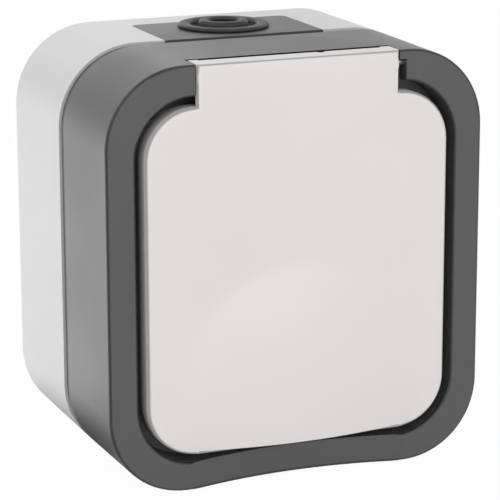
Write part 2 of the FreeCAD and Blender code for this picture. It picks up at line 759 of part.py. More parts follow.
def lid_panel():
    """Flat panel with rounded edge, and the tab with its knuckles and pin hole."""
    part = body("lid_panel")
    face = sketch(part, "XZ", "panel_outline", lid_rear)
    rounded(face, lid_half, lid_bottom, lid_top, q.lid_corner)
    pad(part, face, q.lid_rim, "panel")
    dress(part, "Fillet", q.lid_edge, "panel_edge", lambda edge, p: near(p.y, -lid_face))
    tab_top = hinge_height + q.hinge_to_top
    tab = sketch(part, "XZ", "tab_outline", lid_face - q.tab_wall)
    rectangle(tab, -tab_half, tab_half, lid_top - q.lid_corner, tab_top)
    pad(part, tab, q.tab_wall, "tab")
    strip = sketch(part, "YZ", "strip_section")
    back = -(hinge_depth - q.hinge_to_back)
    rectangle(strip, -(lid_face - q.tab_wall / 2), back, tab_top - q.tab_strip, tab_top)
    pad(part, strip, tab_half * 2, "strip", symmetric=True)
    ears = sketch(part, "XY", "ear_outlines", tab_top)
    ear_back = -(hinge_depth - q.hinge_to_ear)
    for side in (1, -1):
        outer, inner = tab_half * side, (tab_half - q.ear_width) * side
        rectangle(ears, min_of(outer, inner), max_of(outer, inner), back - q.tab_strip, ear_back)
    pad(part, ears, q.tab_strip, "ears", reverse=True)
    nick = sketch(part, "XY", "nick_circle", tab_top)
    circle(nick, q.nick_place, back, q.nick_radius)
    dress(
        part,
        "Fillet",
        q.tab_edge,
        "crease",
        lambda edge, p: near(p.y, -lid_face) and near(p.z, tab_top),
    )
    knuckles(part, tab_top, ear_back)
    pocket(part, nick, q.tab_strip, "nick")
    hole = sketch(part, "YZ", "pin_circle")
    circle(hole, -hinge_depth, hinge_height, q.pin_radius + q.pin_running)
    pocket(part, hole, tab_half * 2 + q.tab_wall, "pin_hole", symmetric=True)
    return part


def knuckles(part, tab_top, back):
    """Four knuckles under the strip: one at each end of the tab and one on each side of the spring."""
    low = hinge_height - (q.pin_radius * 2)
    deep = -(lid_face - q.tab_wall / 2)
    places = []
    for side in (1, -1):
        places.append((side, tab_half - q.knuckle_outer, q.knuckle_outer))
        places.append((side, q.spring_half, q.knuckle_inner))
    for number, (side, start, width) in enumerate(places):
        section = sketch(part, "YZ", f"knuckle_section_{number}", start * side)
        outline(
            section,
            [
                (deep, low),
                (-hinge_depth, low),
                (back, hinge_height),
                (back, tab_top - q.tab_strip / 2),
                (deep, tab_top - q.tab_strip / 2),
            ],
            {1: (q.pin_radius * 2.3, 1)},
        )
        pad(part, section, width, f"knuckle_{number}", reverse=side < 0)


def lid_dome():
    """The dome as a piece of a large sphere, cut off at the lid's lower edge and rounded there."""
    part = body("lid_dome")
    section = sketch(part, "YZ", "dome_section")
    drop = dome_apex - lid_rear
    reach = root(drop * (dome_sphere * 2 - drop))
    outline(
        section,
        [(-lid_rear, ZERO), (-lid_rear, reach), (-dome_apex, ZERO)],
        {1: (dome_sphere, 1)},
    )
    revolve(part, section, "cap", axis="H_Axis")
    trim = sketch(part, "XZ", "dome_trim", dome_apex)
    edge = q.dome_raise
    corner = q.lid_corner
    start = edge - corner
    inner = dome_radius + q.lid_edge
    outline(
        trim,
        [
            (-(lid_half - corner), -edge),
            (lid_half - corner, -edge),
            (lid_half, -start),
            (inner, -start),
            (inner, inner),
            (-inner, inner),
            (-inner, -start),
            (-lid_half, -start),
        ],
        {1: (corner, 1), 7: (corner, 1)},
    )
    rectangle(trim, -dome_sphere, dome_sphere, -dome_sphere, dome_sphere)
    pocket(part, trim, drop, "trim")
    dress(
        part,
        "Fillet",
        q.lid_edge,
        "lip",
        lambda e, p: near(p.z, -edge) and near(p.x, ZERO) and -p.y > lid_face.value,
    )
    bind(part, "Placement.Base.z", -dome_drop)
    return part


def lid_hollow():
    """Room inside the panel."""
    part = body("lid_hollow")
    wall = q.lid_wall
    face = sketch(part, "XZ", "hollow_outline", lid_rear - wall)
    rounded(face, lid_half - wall, lid_bottom - wall, lid_top - wall, q.lid_corner - wall)
    pad(part, face, lid_inside - lid_rear + wall, "hollow")
    return part


def lid_dome_hollow():
    """Room inside the dome: the same sphere, less the wall, kept off the lower edge."""
    ball = DOC.addObject("Part::Sphere", "dome_inner_sphere")
    bind(ball, "Radius", dome_sphere - q.lid_wall)
    bind(ball, "Placement.Base.y", -(dome_apex - dome_sphere))
    bind(ball, "Placement.Base.z", -dome_drop)
    limit = DOC.addObject("Part::Box", "dome_inner_limit")
    half = dome_radius - q.lid_wall
    rim = q.lid_wall * 1.3
    bind(limit, "Length", half * 2)
    bind(limit, "Width", dome_apex - lid_rear)
    bind(limit, "Height", dome_radius + lid_bottom - rim - dome_drop)
    bind(limit, "Placement.Base.x", -half)
    bind(limit, "Placement.Base.y", -dome_apex)
    bind(limit, "Placement.Base.z", rim - lid_bottom)
    made = DOC.addObject("Part::Common", "dome_inside")
    made.Base = ball
    made.Tool = limit
    return made


def lid_gasket():
    """Soft ring inside the lid's rim, which shuts on the face of the insert."""
    part = body("lid_gasket")
    ring = sketch(part, "XZ", "ring", lid_rear - q.gasket_lip)
    for inset in (q.lid_wall, q.lid_wall + q.gasket_width):
        rounded(ring, lid_half - inset, lid_bottom - inset, lid_top - inset, q.lid_corner - inset)
    pad(part, ring, lid_inside - lid_rear + q.gasket_lip, "gasket")
    return part


def hinge_pin():
    """Steel axle of the lid."""
    part = body("hinge_pin")
    section = sketch(part, "YZ", "round")
    circle(section, -hinge_depth, hinge_height, q.pin_radius)
    pad(part, section, pin_reach * 2, "pin", symmetric=True)
    return part


def lid_spring():
    """Close-wound torsion spring round the pin; its turns are ridged rings, and its legs are straight."""
    part = body("lid_spring")
    wire, mean = q.spring_wire, q.spring_mean
    turns = int(q.spring_turns.value)
    half = wire * turns / 2
    section = sketch(part, "XZ", "coil_section")
    crest = [(half, mean)]
    for turn in range(turns):
        crest.append((half - wire * (turn + 0.5), mean + wire / 2))
        crest.append((half - wire * (turn + 1), mean))
    inside = mean - wire / 2
    outline(section, crest + [(-half, inside), (half, inside)])
    revolve(part, section, "coil", axis="H_Axis")
    for name, side, reach in (("front_leg", -1, 1.2), ("rear_leg", 1, 2.7)):
        leg = sketch(part, "XZ", f"{name}_round")
        circle(leg, (half - wire / 2) * side, -mean, wire * 0.47)
        pad(part, leg, mean * reach, name, reverse=side > 0)
    bind(part, "Placement.Base.y", -hinge_depth)
    bind(part, "Placement.Base.z", hinge_height)
    return part


def socket_plate():
    """Insert: front plate, plug well with keys, pin holes and earth slots, and screw holes."""
    part = body("socket_plate")
    gap = q.insert_gap
    plate = sketch(part, "XZ", "plate_outline", ledge_front)
    rounded(
        plate,
        opening_half - gap,
        opening_bottom - gap,
        opening_top - gap,
        q.opening_corner - gap,
    )
    pad(part, plate, q.insert_plate, "plate")
    dress(part, "Fillet", q.frame_edge, "plate_edge", lambda edge, p: near(p.y, -insert_front))
    pot = sketch(part, "XZ", "pot_outline", well_rear)
    circle(pot, ZERO, ZERO, well_outer)
    pad(part, pot, insert_front - well_rear, "pot")
    well = sketch(part, "XZ", "well_circle", insert_front)
    circle(well, ZERO, ZERO, q.well_radius)
    pocket(part, well, q.well_depth, "well")
    dress(
        part,
        "Chamfer",
        q.well_mouth,
        "mouth",
        lambda e, p: near(p.y, -insert_front) and abs(math.hypot(p.x, p.z) - q.well_radius.value) < 0.1,
    )
    keys = sketch(part, "XZ", "key_outlines", well_floor_front - q.well_floor / 2)
    half = q.key_width / 2
    outer = q.well_radius + q.well_wall / 2
    rectangle(keys, q.well_radius - q.key_reach, outer, -half, half)
    rectangle(keys, -outer, q.key_reach - q.well_radius, -half, half)
    pad(part, keys, q.well_depth + q.well_floor / 2 - q.well_mouth * 2, "keys")
    pins = sketch(part, "XZ", "pin_places", well_floor_front)
    for side in (1, -1):
        circle(pins, pin_half * side, ZERO, q.pin_hole_radius)
    pocket(part, pins, q.well_floor, "pin_holes")
    slots = sketch(part, "XZ", "earth_slots", insert_front)
    width = q.earth_slot_width / 2
    rectangle(slots, -width, width, q.earth_slot_inner, q.earth_slot_outer)
    rectangle(slots, -width, width, -q.earth_slot_outer, -q.earth_slot_inner)
    pocket(part, slots, insert_front - well_rear, "earth_ways")
    plate_screw_holes(part)
    return part


def plate_screw_holes(part):
    """Sunk holes for the two cover screws and the screw in the middle of the well."""
    holes = sketch(part, "XZ", "cover_screw_holes", insert_front)
    sinks = sketch(part, "XZ", "cover_screw_sinks", insert_front)
    for side in (1, -1):
        place = cover_screw_x * side, cover_screw_z * side
        circle(holes, *place, q.cover_screw_radius + q.screw_play * 4)
        circle(sinks, *place, q.cover_screw_head + q.screw_play * 4)
    pocket(part, holes, q.insert_plate, "cover_holes")
    pocket(part, sinks, q.head_sink, "cover_sinks")
    middle = sketch(part, "XZ", "centre_hole", well_floor_front)
    circle(middle, ZERO, ZERO, q.centre_screw_radius + q.screw_play * 2)
    pocket(part, middle, q.well_floor, "centre_way")
    sink = sketch(part, "XZ", "centre_sink", well_floor_front)
    circle(sink, ZERO, ZERO, q.cover_screw_head + q.screw_play * 4)
    pocket(part, sink, q.head_sink, "centre_sunk")


def contact_carrier():
    """Insulating block behind the well, with chambers for contacts and terminals."""
    part = body("contact_carrier")
    block = sketch(part, "XZ", "block_outline", carrier_rear)
    rounded(block, q.carrier_half, q.carrier_high, q.carrier_high, q.carrier_corner)
    pad(part, block, q.carrier_depth, "block")
    channel = sketch(part, "XZ", "strap_channel", well_rear)
    half = q.strap_width / 2 + q.screw_play * 4
    rectangle(channel, -half, half, -q.carrier_high, q.carrier_high)
    pocket(part, channel, q.strap_sheet + q.screw_play * 4, "strap_way")
    chambers = sketch(part, "XZ", "contact_chambers", well_rear)
    rears = sketch(part, "XZ", "terminal_chambers", carrier_rear)
    wide = q.clamp_width / 2 + q.screw_play * 4
    for side in (1, -1):
        block_chamber(chambers, pin_half * side, q.chamber_half, q.chamber_high)
        block_chamber(rears, clamp_x * side, wide, q.clamp_high + q.screw_play * 4)
    pocket(part, chambers, q.carrier_depth - q.chamber_web, "contact_rooms")
    depth = contact_tail_front + q.clamp_depth + q.screw_play * 4 - carrier_rear
    pocket(part, rears, depth, "terminal_rooms", reverse=True)
    wires = sketch(part, "XY", "wire_ways", -q.carrier_high)
    for side in (1, -1):
        circle(wires, clamp_x * side, -(contact_tail_front + q.clamp_depth / 2), q.wire_hole * 1.2)
    pocket(part, wires, q.carrier_high * 2, "wire_holes", reverse=True)
    middle = sketch(part, "XZ", "centre_hole", well_rear)
    circle(middle, ZERO, ZERO, q.centre_screw_radius + q.screw_play)
    pocket(part, middle, q.carrier_depth, "centre_way")
    return part


def block_chamber(sk, x, half, high):
    """Draws one rectangular chamber about a place beside the middle."""
    rectangle(sk, x - half, x + half, -high, high)


def live_contact(name, side):
    """Brass spring contact: two leaves that grip a plug pin, and a tail to the terminal."""
    part = body(name)
    sheet, grip = q.contact_sheet, q.contact_grip
    root_gap = grip + sheet / 2
    mouth_gap = grip + sheet * 1.6
    mouth = well_rear - q.strap_sheet - sheet
    waist = mouth - sheet * 4
    section = sketch(part, "YZ", "leaf_section")
    outer = [
        (-contact_rear, root_gap + sheet),
        (-waist, grip + sheet),
        (-mouth, mouth_gap + sheet),
        (-mouth, mouth_gap),
        (-waist, grip),
        (-contact_tail_front, root_gap),
    ]
    lower = [(y, -z) for y, z in reversed(outer)]
    outline(section, outer + lower)
    pad(part, section, q.contact_width, "leaves", symmetric=True)
    tail = sketch(part, "XZ", "tail_outline", contact_rear)
    start = q.contact_width / 2 - sheet
    end = clamp_x - pin_half + q.clamp_width / 2
    high = q.clamp_high - q.contact_sheet * 2
    if side > 0:
        rectangle(tail, start, end, -high, high)
    else:
        rectangle(tail, -end, -start, -high, high)
    pad(part, tail, q.strap_sheet, "tail")
    hole = sketch(part, "XZ", "screw_hole", contact_tail_front)
    circle(hole, (clamp_x - pin_half) * side, ZERO, q.m3_radius + q.screw_play * 2)
    pocket(part, hole, q.strap_sheet, "screw_way")
    bind(part, "Placement.Base.x", pin_half * side)
    return part


def terminal(name, x, z, rear, wire_along):
    """Brass clamp block with a wire hole across it and a screw hole from the rear."""
    part = body(name)
    block = sketch(part, "XZ", "block", rear)
    half, high = q.clamp_width / 2, q.clamp_high
    rectangle(block, -half, half, -high, high)
    pad(part, block, q.clamp_depth, "clamp")
    middle = -(rear + q.clamp_depth / 2)
    if wire_along == "Z":
        wire = sketch(part, "XY", "wire")
        circle(wire, ZERO, middle, q.wire_hole)
        pocket(part, wire, high * 3, "wire_hole", symmetric=True)
    else:
        wire = sketch(part, "YZ", "wire")
        circle(wire, middle, ZERO, q.wire_hole)
        pocket(part, wire, half * 3, "wire_hole", symmetric=True)
    screw = sketch(part, "XZ", "screw", rear)
    circle(screw, ZERO, ZERO, q.m3_radius + q.screw_play)
    pocket(part, screw, q.clamp_depth / 2, "screw_hole", reverse=True)
    bind(part, "Placement.Base.x", x)
    bind(part, "Placement.Base.z", z)
    return part


def screw(name, place, seat, length, radius, head_radius, head_height, points_to_wall):
    """Cheese-head screw along the depth; seat is the depth of the head's underside."""
    part = body(name)
    section = sketch(part, "XZ", "section")
    point = radius / 2
    outline(
        section,
        [
            (ZERO, head_height),
            (head_radius, head_height),
            (head_radius, ZERO),
            (radius, ZERO),
            (radius, point - length),
            (radius - point, -length),
            (ZERO, -length),
        ],
    )
    revolve(part, section, "turned")
    drive = sketch(part, "XY", "driver_outline", head_height)
    half = q.driver_slot / 2
    rectangle(drive, -(head_radius * 1.1), head_radius * 1.1, -half, half)
    pocket(part, drive, q.driver_depth, "driver_slot")
    x, z = place
    angle = 90 if points_to_wall else -90
    part.Placement = Placement(Vector(0, 0, 0), Rotation(Vector(1, 0, 0), angle))
    bind(part, "Placement.Base.x", x)
    bind(part, "Placement.Base.y", -seat)
    bind(part, "Placement.Base.z", z)
    return part


def earth_strap():
    """One bent strip: it runs behind the well's floor and ends in two sprung clips."""
    part = body("earth_strap")
    thick, reach, bulge = q.strap_sheet, q.strap_reach, q.strap_bulge
    rear = well_rear - thick - q.screw_play
    bend_start = well_floor_front + q.well_depth / 3
    bend = bend_start + q.well_depth / 5
    tip = bend + q.well_depth / 6
    half = [
        (rear + thick, reach - thick),
        (bend_start, reach - thick),
        (bend, bulge),
        (tip, reach - thick * 2),
        (tip + thick / 2, reach - thick),
        (bend, bulge + thick * 1.2),
        (bend_start + thick / 2, reach),
        (rear, reach),
    ]
    section = sketch(part, "YZ", "strip_section")
    upper = [(-depth, z) for depth, z in half]
    lower = [(-depth, -z) for depth, z in reversed(half)]
    outline(section, upper + lower)
    pad(part, section, q.strap_width, "strip", symmetric=True)
    hole = sketch(part, "XZ", "centre_hole", rear)
    circle(hole, ZERO, ZERO, q.centre_screw_radius + q.screw_play * 4)
    pocket(part, hole, thick, "centre_way", reverse=True)
    return part


def build():
    """Makes every sub-part, in the order in which the real one is put together."""
    pieces = [back_box(), box_seal(), entry_plate(), entry_grommet(), front_frame()]
    pieces += [socket_plate(), contact_carrier(), earth_strap()]
    strap_rear = well_rear - q.strap_sheet - q.screw_play
    earth_rear = strap_rear - q.clamp_depth
    earth_z = -(q.carrier_high + q.clamp_high + q.screw_play * 10)
    clamp_rear = contact_tail_front
    for name, side in (("left", -1), ("right", 1)):
        pieces.append(live_contact(f"live_contact_{name}", side))
        pieces.append(terminal(f"live_terminal_{name}", clamp_x * side, ZERO, clamp_rear, "Z"))
        terminal_place = clamp_x * side, ZERO
        pieces.append(terminal_screw(f"terminal_screw_{name}", terminal_place, contact_rear))
    pieces.append(terminal("earth_terminal", ZERO, earth_z, earth_rear, "X"))
    pieces.append(terminal_screw("terminal_screw_earth", (ZERO, earth_z), earth_rear))
    seat = insert_front - q.head_sink
    for name, side in (("upper", 1), ("lower", -1)):
        place = cover_screw_x * side, cover_screw_z * side
        pieces.append(
            screw(
                f"cover_screw_{name}",
                place,
                seat,
                q.cover_screw_length,
                q.cover_screw_radius,
                q.cover_screw_head,
                q.head_height,
                True,
            )
        )
    pieces.append(
        screw(
            "centre_screw",
            (ZERO, ZERO),
            well_floor_front - q.head_sink,
            q.centre_screw_length,
            q.centre_screw_radius,
            q.cover_screw_head,
            q.head_height,
            True,
        )
    )
    pieces += [lid(), lid_gasket(), hinge_pin(), lid_spring()]
    return pieces


def terminal_screw(name, place, seat):
    """Clamp screw that goes into a terminal from the wall side."""
    length = q.strap_sheet + q.clamp_depth / 2 - q.screw_play
    return screw(name, place, seat, length, q.m3_radius, q.m3_head, q.m3_head_height, False)


def check(pieces):
    """Stops if an object failed or a sub-part has no sound shape."""
    DOC.recompute()
    for thing in DOC.Objects:
        if "Invalid" in thing.State or "Error" in thing.State:
            raise RuntimeError(f"{thing.Label} failed: {thing.State}")
    for piece in pieces:
        if piece.Shape.isNull() or not piece.Shape.isValid():
            raise RuntimeError(f"{piece.Label} has no sound shape")


def export(pieces):
    """Writes each sub-part to a file of its own."""
    os.makedirs("parts", exist_ok=True)
    for piece in pieces:
        piece.Shape.exportStep(f"parts/{piece.Label}.step")
        box = piece.Shape.BoundBox
        print(f"{piece.Label}: {len(piece.Shape.Solids)} solid, {piece.Shape.Volume:.0f} mm3, {box}")


PIECES = build()
check(PIECES)
export(PIECES)
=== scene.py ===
"""Looks of a surface-mounted weatherproof socket outlet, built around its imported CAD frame.

Everything is in the row frame: the wall is the plane Y = 0, the lid looks along -Y and Z is up.
The pieces' own sizes are in millimetres and the studio's in metres, unless a name says otherwise.
"""

import json
import logging
import math
from collections.abc import Callable, Sequence
from dataclasses import dataclass
from enum import Enum

import bmesh
import bpy
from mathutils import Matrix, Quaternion, Vector

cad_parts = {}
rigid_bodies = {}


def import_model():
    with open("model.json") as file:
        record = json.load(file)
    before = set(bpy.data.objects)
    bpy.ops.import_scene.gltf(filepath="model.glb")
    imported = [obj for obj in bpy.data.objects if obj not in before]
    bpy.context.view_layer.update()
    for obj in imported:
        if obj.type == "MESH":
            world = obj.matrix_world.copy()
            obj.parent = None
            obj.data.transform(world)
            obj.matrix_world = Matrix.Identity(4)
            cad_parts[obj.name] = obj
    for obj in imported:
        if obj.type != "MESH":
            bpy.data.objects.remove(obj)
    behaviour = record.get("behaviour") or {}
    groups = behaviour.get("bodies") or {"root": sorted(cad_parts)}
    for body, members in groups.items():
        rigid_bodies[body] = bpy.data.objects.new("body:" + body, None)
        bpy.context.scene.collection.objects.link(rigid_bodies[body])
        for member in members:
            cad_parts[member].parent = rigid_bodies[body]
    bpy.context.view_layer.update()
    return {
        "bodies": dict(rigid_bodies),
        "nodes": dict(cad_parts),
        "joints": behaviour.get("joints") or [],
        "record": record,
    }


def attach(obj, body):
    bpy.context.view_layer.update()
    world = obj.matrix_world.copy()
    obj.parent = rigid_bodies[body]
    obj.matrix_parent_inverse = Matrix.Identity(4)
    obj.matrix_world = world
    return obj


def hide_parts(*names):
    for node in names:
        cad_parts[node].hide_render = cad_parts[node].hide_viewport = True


LOG = logging.getLogger("weatherproof_socket")
MM = 0.001

RIGHT = (1.0, 0.0, 0.0)
UP = (0.0, 0.0, 1.0)
FORWARDS = (math.pi / 2, 0.0, 0.0)  # turn that stands a flat primitive up
SIDEWAYS = (0.0, math.pi / 2, 0.0)  # turn that lays an upright primitive down along X
STRAIGHT = 0.99  # part of a unit direction from which it counts as straight along an axis
NEAR = 0.02  # distance in millimetres within which places count as the same
MERGE = 1e-6  # distance in metres within which points become one
ON_CUT = 1e-7  # distance in metres from a cut within which a point lies on it

Colour = tuple[float, float, float, float]
Pair = tuple[float, float]
Triple = tuple[float, float, float]
Test = Callable[[Vector, Vector], bool]
Tree = bpy.types.NodeTree
Source = bpy.types.Node | bpy.types.NodeSocket


class Slot(Enum):
    """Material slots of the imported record."""

    HOUSING = "grey_housing"
    LID = "grey_lid"
    INSERT = "grey_insert"
    FRAME = "dark_frame"
    PLATE = "dark_plate"
    CARRIER = "black_carrier"
    SEAL = "black_seal"
    BRASS = "brass"
    STEEL = "steel"


def hex_to_linear(code: str) -> Colour:
    """Turns an sRGB hex colour into linear light.

    Args:
        code: Six hex digits, with or without a leading hash.

    Returns:
        Red, green, blue and an alpha of one.
    """
    digits = code.lstrip("#")
    channels = []
    for start in (0, 2, 4):
        value = int(digits[start : start + 2], 16) / 255
        channels.append(value / 12.92 if value <= 0.04045 else ((value + 0.055) / 1.055) ** 2.4)
    return (channels[0], channels[1], channels[2], 1.0)


def add_node(
    tree: Tree,
    kind: str,
    settings: dict[str | int, object] | None = None,
    links: dict[str | int, Source] | None = None,
) -> bpy.types.Node:
    """Adds a node, sets it up and links its inputs.

    Args:
        tree: The node tree of a material or world.
        kind: The node's Blender type name.
        settings: Property or input names with their values. The value of "stops" is the
            position and colour of each stop of a ramp, in order.
        links: Input names or numbers with what feeds each: an output, or a node, whose first
            output is taken.

    Returns:
        The new node.
    """
    node = tree.nodes.new(kind)
    for name, value in (settings or {}).items():
        if name == "stops":
            elements = node.color_ramp.elements
            elements.remove(elements[-1])
            elements[0].position, elements[0].color = value[0]
            for position, colour in value[1:]:
                elements.new(position).color = colour
        elif isinstance(name, int) or name in node.inputs:
            node.inputs[name].default_value = value
        else:
            setattr(node, name, value)
    for name, source in (links or {}).items():
        output = source.outputs[0] if isinstance(source, bpy.types.Node) else source
        tree.links.new(output, node.inputs[name])
    return node


def empty_material(name: str) -> bpy.types.Material:
    """Makes a node material whose tree is still empty.

    Args:
        name: Name of the material.

    Returns:
        The material.
    """
    material = bpy.data.materials.new(name)
    material.use_nodes = True
    material.node_tree.nodes.clear()
    return material


@dataclass(frozen=True)
class PaintedEdgeShade:
    """Painted shade on a moulding's roundings, found by the way that the surface faces.

    Attributes:
        colour: sRGB hex colour of the painted shade.
        begins: How far a rounding looks forwards where the painted shade begins and where it is
        full; one is straight forwards.
        ends: The same where the painted shade begins to end and where it has ended, or None
        where it stays full to straight forwards.
        upright_from_mm: Distance from the middle within which an upright face is no rounding.
        painted_rim_mm: Heights between which the painted shade of the lower rim fades, or None.
    """

    colour: str
    begins: Pair = (0.06, 0.16)
    ends: Pair | None = (0.965, 0.993)
    upright_from_mm: float = 0.0
    painted_rim_mm: Pair | None = None

    def mask(self, tree: Tree) -> Source:
        """Finds where shade is painted: the roundings between the front and the sides.

        Args:
            tree: The material's node tree.

        Returns:
            The node that gives one where shade is painted and nothing elsewhere.
        """
        axes = add_node(tree, "ShaderNodeTexCoord").outputs
        facing = add_node(tree, "ShaderNodeSeparateXYZ", links={"Vector": axes["Normal"]}).outputs
        place = add_node(tree, "ShaderNodeSeparateXYZ", links={"Vector": axes["Object"]}).outputs
        negate = {"operation": "MULTIPLY", 1: -1.0}
        forwards = add_node(tree, "ShaderNodeMath", negate, {0: facing["Y"]})
        levels = zip(self.begins + (self.ends or ()), (0.0, 1.0, 1.0, 0.0))
        stops = [(position, (level, level, level, 1.0)) for position, level in levels]
        # Painted shade: one on the roundings between the front and the sides, nothing on the front.
        painted_shade: Source = add_node(tree, "ShaderNodeValToRGB", {"stops": stops}, {"Fac": forwards})
        if self.upright_from_mm:
            # An upright face counts only far from the middle, which spares those of the scoop.
            least_slope = 0.02
            limits = ((place["X"], self.upright_from_mm * MM), (facing["Z"], least_slope))
            beyond = {}
            for side, (value, limit) in enumerate(limits):
                size = add_node(tree, "ShaderNodeMath", {"operation": "ABSOLUTE"}, {0: value})
                over = {"operation": "GREATER_THAN", 1: limit}
                beyond[side] = add_node(tree, "ShaderNodeMath", over, {0: size})
            either = add_node(tree, "ShaderNodeMath", {"operation": "MAXIMUM"}, beyond)
            links = {0: painted_shade, 1: either}
            painted_shade = add_node(tree, "ShaderNodeMath", {"operation": "MULTIPLY"}, links)
        if self.painted_rim_mm is not None:
            # The lower rim has no rounding, and gets painted shade where it looks forwards.
            low, high = self.painted_rim_mm
            rim = add_node(
                tree,
                "ShaderNodeMapRange",
                {"From Min": low * MM, "From Max": high * MM, "To Min": 1.0, "To Max": 0.0},
                {"Value": place["Z"]},
            )
            over = {"operation": "GREATER_THAN", 1: 0.5}
            front = add_node(tree, "ShaderNodeMath", over, {0: forwards})
            join = {"operation": "MULTIPLY_ADD", "use_clamp": True}
            painted_shade = add_node(tree, "ShaderNodeMath", join, {0: rim, 1: front, 2: painted_shade})
        return painted_shade


@dataclass(frozen=True)
class Plastic:
    """Injection-moulded plastic: an even colour, faint flow marks and the tool's fine texture.

    Attributes:
        name: Name of the material.
        colour: sRGB hex colour.
        shade: sRGB hex colour of the slightly deeper areas of the flow marks.
        roughness: Mean roughness.
        grain_mm: Size of the tool texture's grains. The real ones, near 0.05 mm, are too fine to
            show, so they are drawn coarser.
        grain_height_mm: Height of the grains in the bump.
        ior: Index of refraction.
        flow_mm: Size of the flow marks.
        swing: How far the roughness departs from its mean.
        gloss_level: Strength of the reflection, 0.5 where the index alone gives it.
        edge: Painted shade on the roundings, or None where there is none.
    """

    name: str
    colour: str
    shade: str
    roughness: float
    grain_mm: float
    grain_height_mm: float
    ior: float = 1.52
    flow_mm: float = 22.0
    swing: float = 0.03
    gloss_level: float = 0.5
    edge: PaintedEdgeShade | None = None

    def make(self) -> bpy.types.Material:
        """Builds the node material.

        Returns:
            The material.
        """
        material = empty_material(self.name)
        tree = material.node_tree
        place = add_node(tree, "ShaderNodeTexCoord").outputs["Object"]
        flow = add_node(
            tree,
            "ShaderNodeTexNoise",
            {"Scale": 1 / (self.flow_mm * MM), "Detail": 3.0, "Roughness": 0.5, "Distortion": 0.4},
            {"Vector": place},
        )
        stops = [(0.35, hex_to_linear(self.shade)), (0.65, hex_to_linear(self.colour))]
        colour: Source = add_node(tree, "ShaderNodeValToRGB", {"stops": stops}, {"Fac": flow})
        grain = add_node(
            tree,
            "ShaderNodeTexNoise",
            {"Scale": 1 / (self.grain_mm * MM), "Detail": 2.0, "Roughness": 0.55},
            {"Vector": place},
        )
        low, high = self.roughness - self.swing, self.roughness + self.swing
        gloss = add_node(
            tree,
            "ShaderNodeMapRange",
            {"From Min": 0.3, "From Max": 0.7, "To Min": low, "To Max": high},
            {"Value": flow},
        )
        bump = add_node(
            tree,
            "ShaderNodeBump",
            {"Strength": 1.0, "Distance": self.grain_height_mm * MM},
            {"Height": grain},
        )
        # Painted shade is mixed into the colour on the roundings.
        if self.edge is not None:
            # The colour inputs of a Mix node have no names of their own: 6 is A, 7 is B.
            colour = add_node(
                tree,
                "ShaderNodeMix",
                {"data_type": "RGBA", 7: hex_to_linear(self.edge.colour)},
                {0: self.edge.mask(tree), 6: colour},
            ).outputs[2]
        shader = add_node(
            tree,
            "ShaderNodeBsdfPrincipled",
            {"IOR": self.ior, "Specular IOR Level": self.gloss_level},
            {"Base Color": colour, "Roughness": gloss, "Normal": bump},
        )
        add_node(tree, "ShaderNodeOutputMaterial", links={"Surface": shader})
        return material


@dataclass(frozen=True)
class Metal:
    """Plain metal with a finish from rolling, stamping or plating.

    Attributes:
        name: Name of the material.
        colour: sRGB hex colour.
        dull: sRGB hex colour of the duller areas.
        roughness: Mean roughness.
        streak_mm: Size of the streaks.
        stretch: How much longer the streaks are along Z than across.
        streak_height_mm: Height of the streaks in the bump.
    """

    name: str
    colour: str
    dull: str
    roughness: float
    streak_mm: float
    stretch: float = 4.0
    streak_height_mm: float = 0.004

    def make(self) -> bpy.types.Material:
        """Builds the node material.

        Returns:
            The material.
        """
        material = empty_material(self.name)
        tree = material.node_tree
        place = add_node(tree, "ShaderNodeTexCoord").outputs["Object"]
        along = add_node(
            tree, "ShaderNodeMapping", {"Scale": (1.0, 1.0, 1 / self.stretch)}, {"Vector": place}
        )
        streak = add_node(
            tree,
            "ShaderNodeTexNoise",
            {"Scale": 1 / (self.streak_mm * MM), "Detail": 4.0, "Roughness": 0.6},
            {"Vector": along},
        )
        stops = [(0.3, hex_to_linear(self.dull)), (0.7, hex_to_linear(self.colour))]
        tint = add_node(tree, "ShaderNodeValToRGB", {"stops": stops}, {"Fac": streak})
        gloss = add_node(
            tree,
            "ShaderNodeMapRange",
            {"To Min": self.roughness - 0.06, "To Max": self.roughness + 0.08},
            {"Value": streak},
        )
        bump = add_node(
            tree,
            "ShaderNodeBump",
            {"Strength": 0.6, "Distance": self.streak_height_mm * MM},
            {"Height": streak},
        )
        shader = add_node(
            tree,
            "ShaderNodeBsdfPrincipled",
            {"Metallic": 1.0},
            {"Base Color": tint, "Roughness": gloss, "Normal": bump},
        )
        add_node(tree, "ShaderNodeOutputMaterial", links={"Surface": shader})
        return material


@dataclass(frozen=True)
class Elastomer(Plastic):
    """Moulded soft rubber: its shade is the paler bloom, in small areas, which dulls the gloss."""

    grain_mm: float = 0.25
    grain_height_mm: float = 0.006
    flow_mm: float = 6.0
    gloss_level: float = 0.36


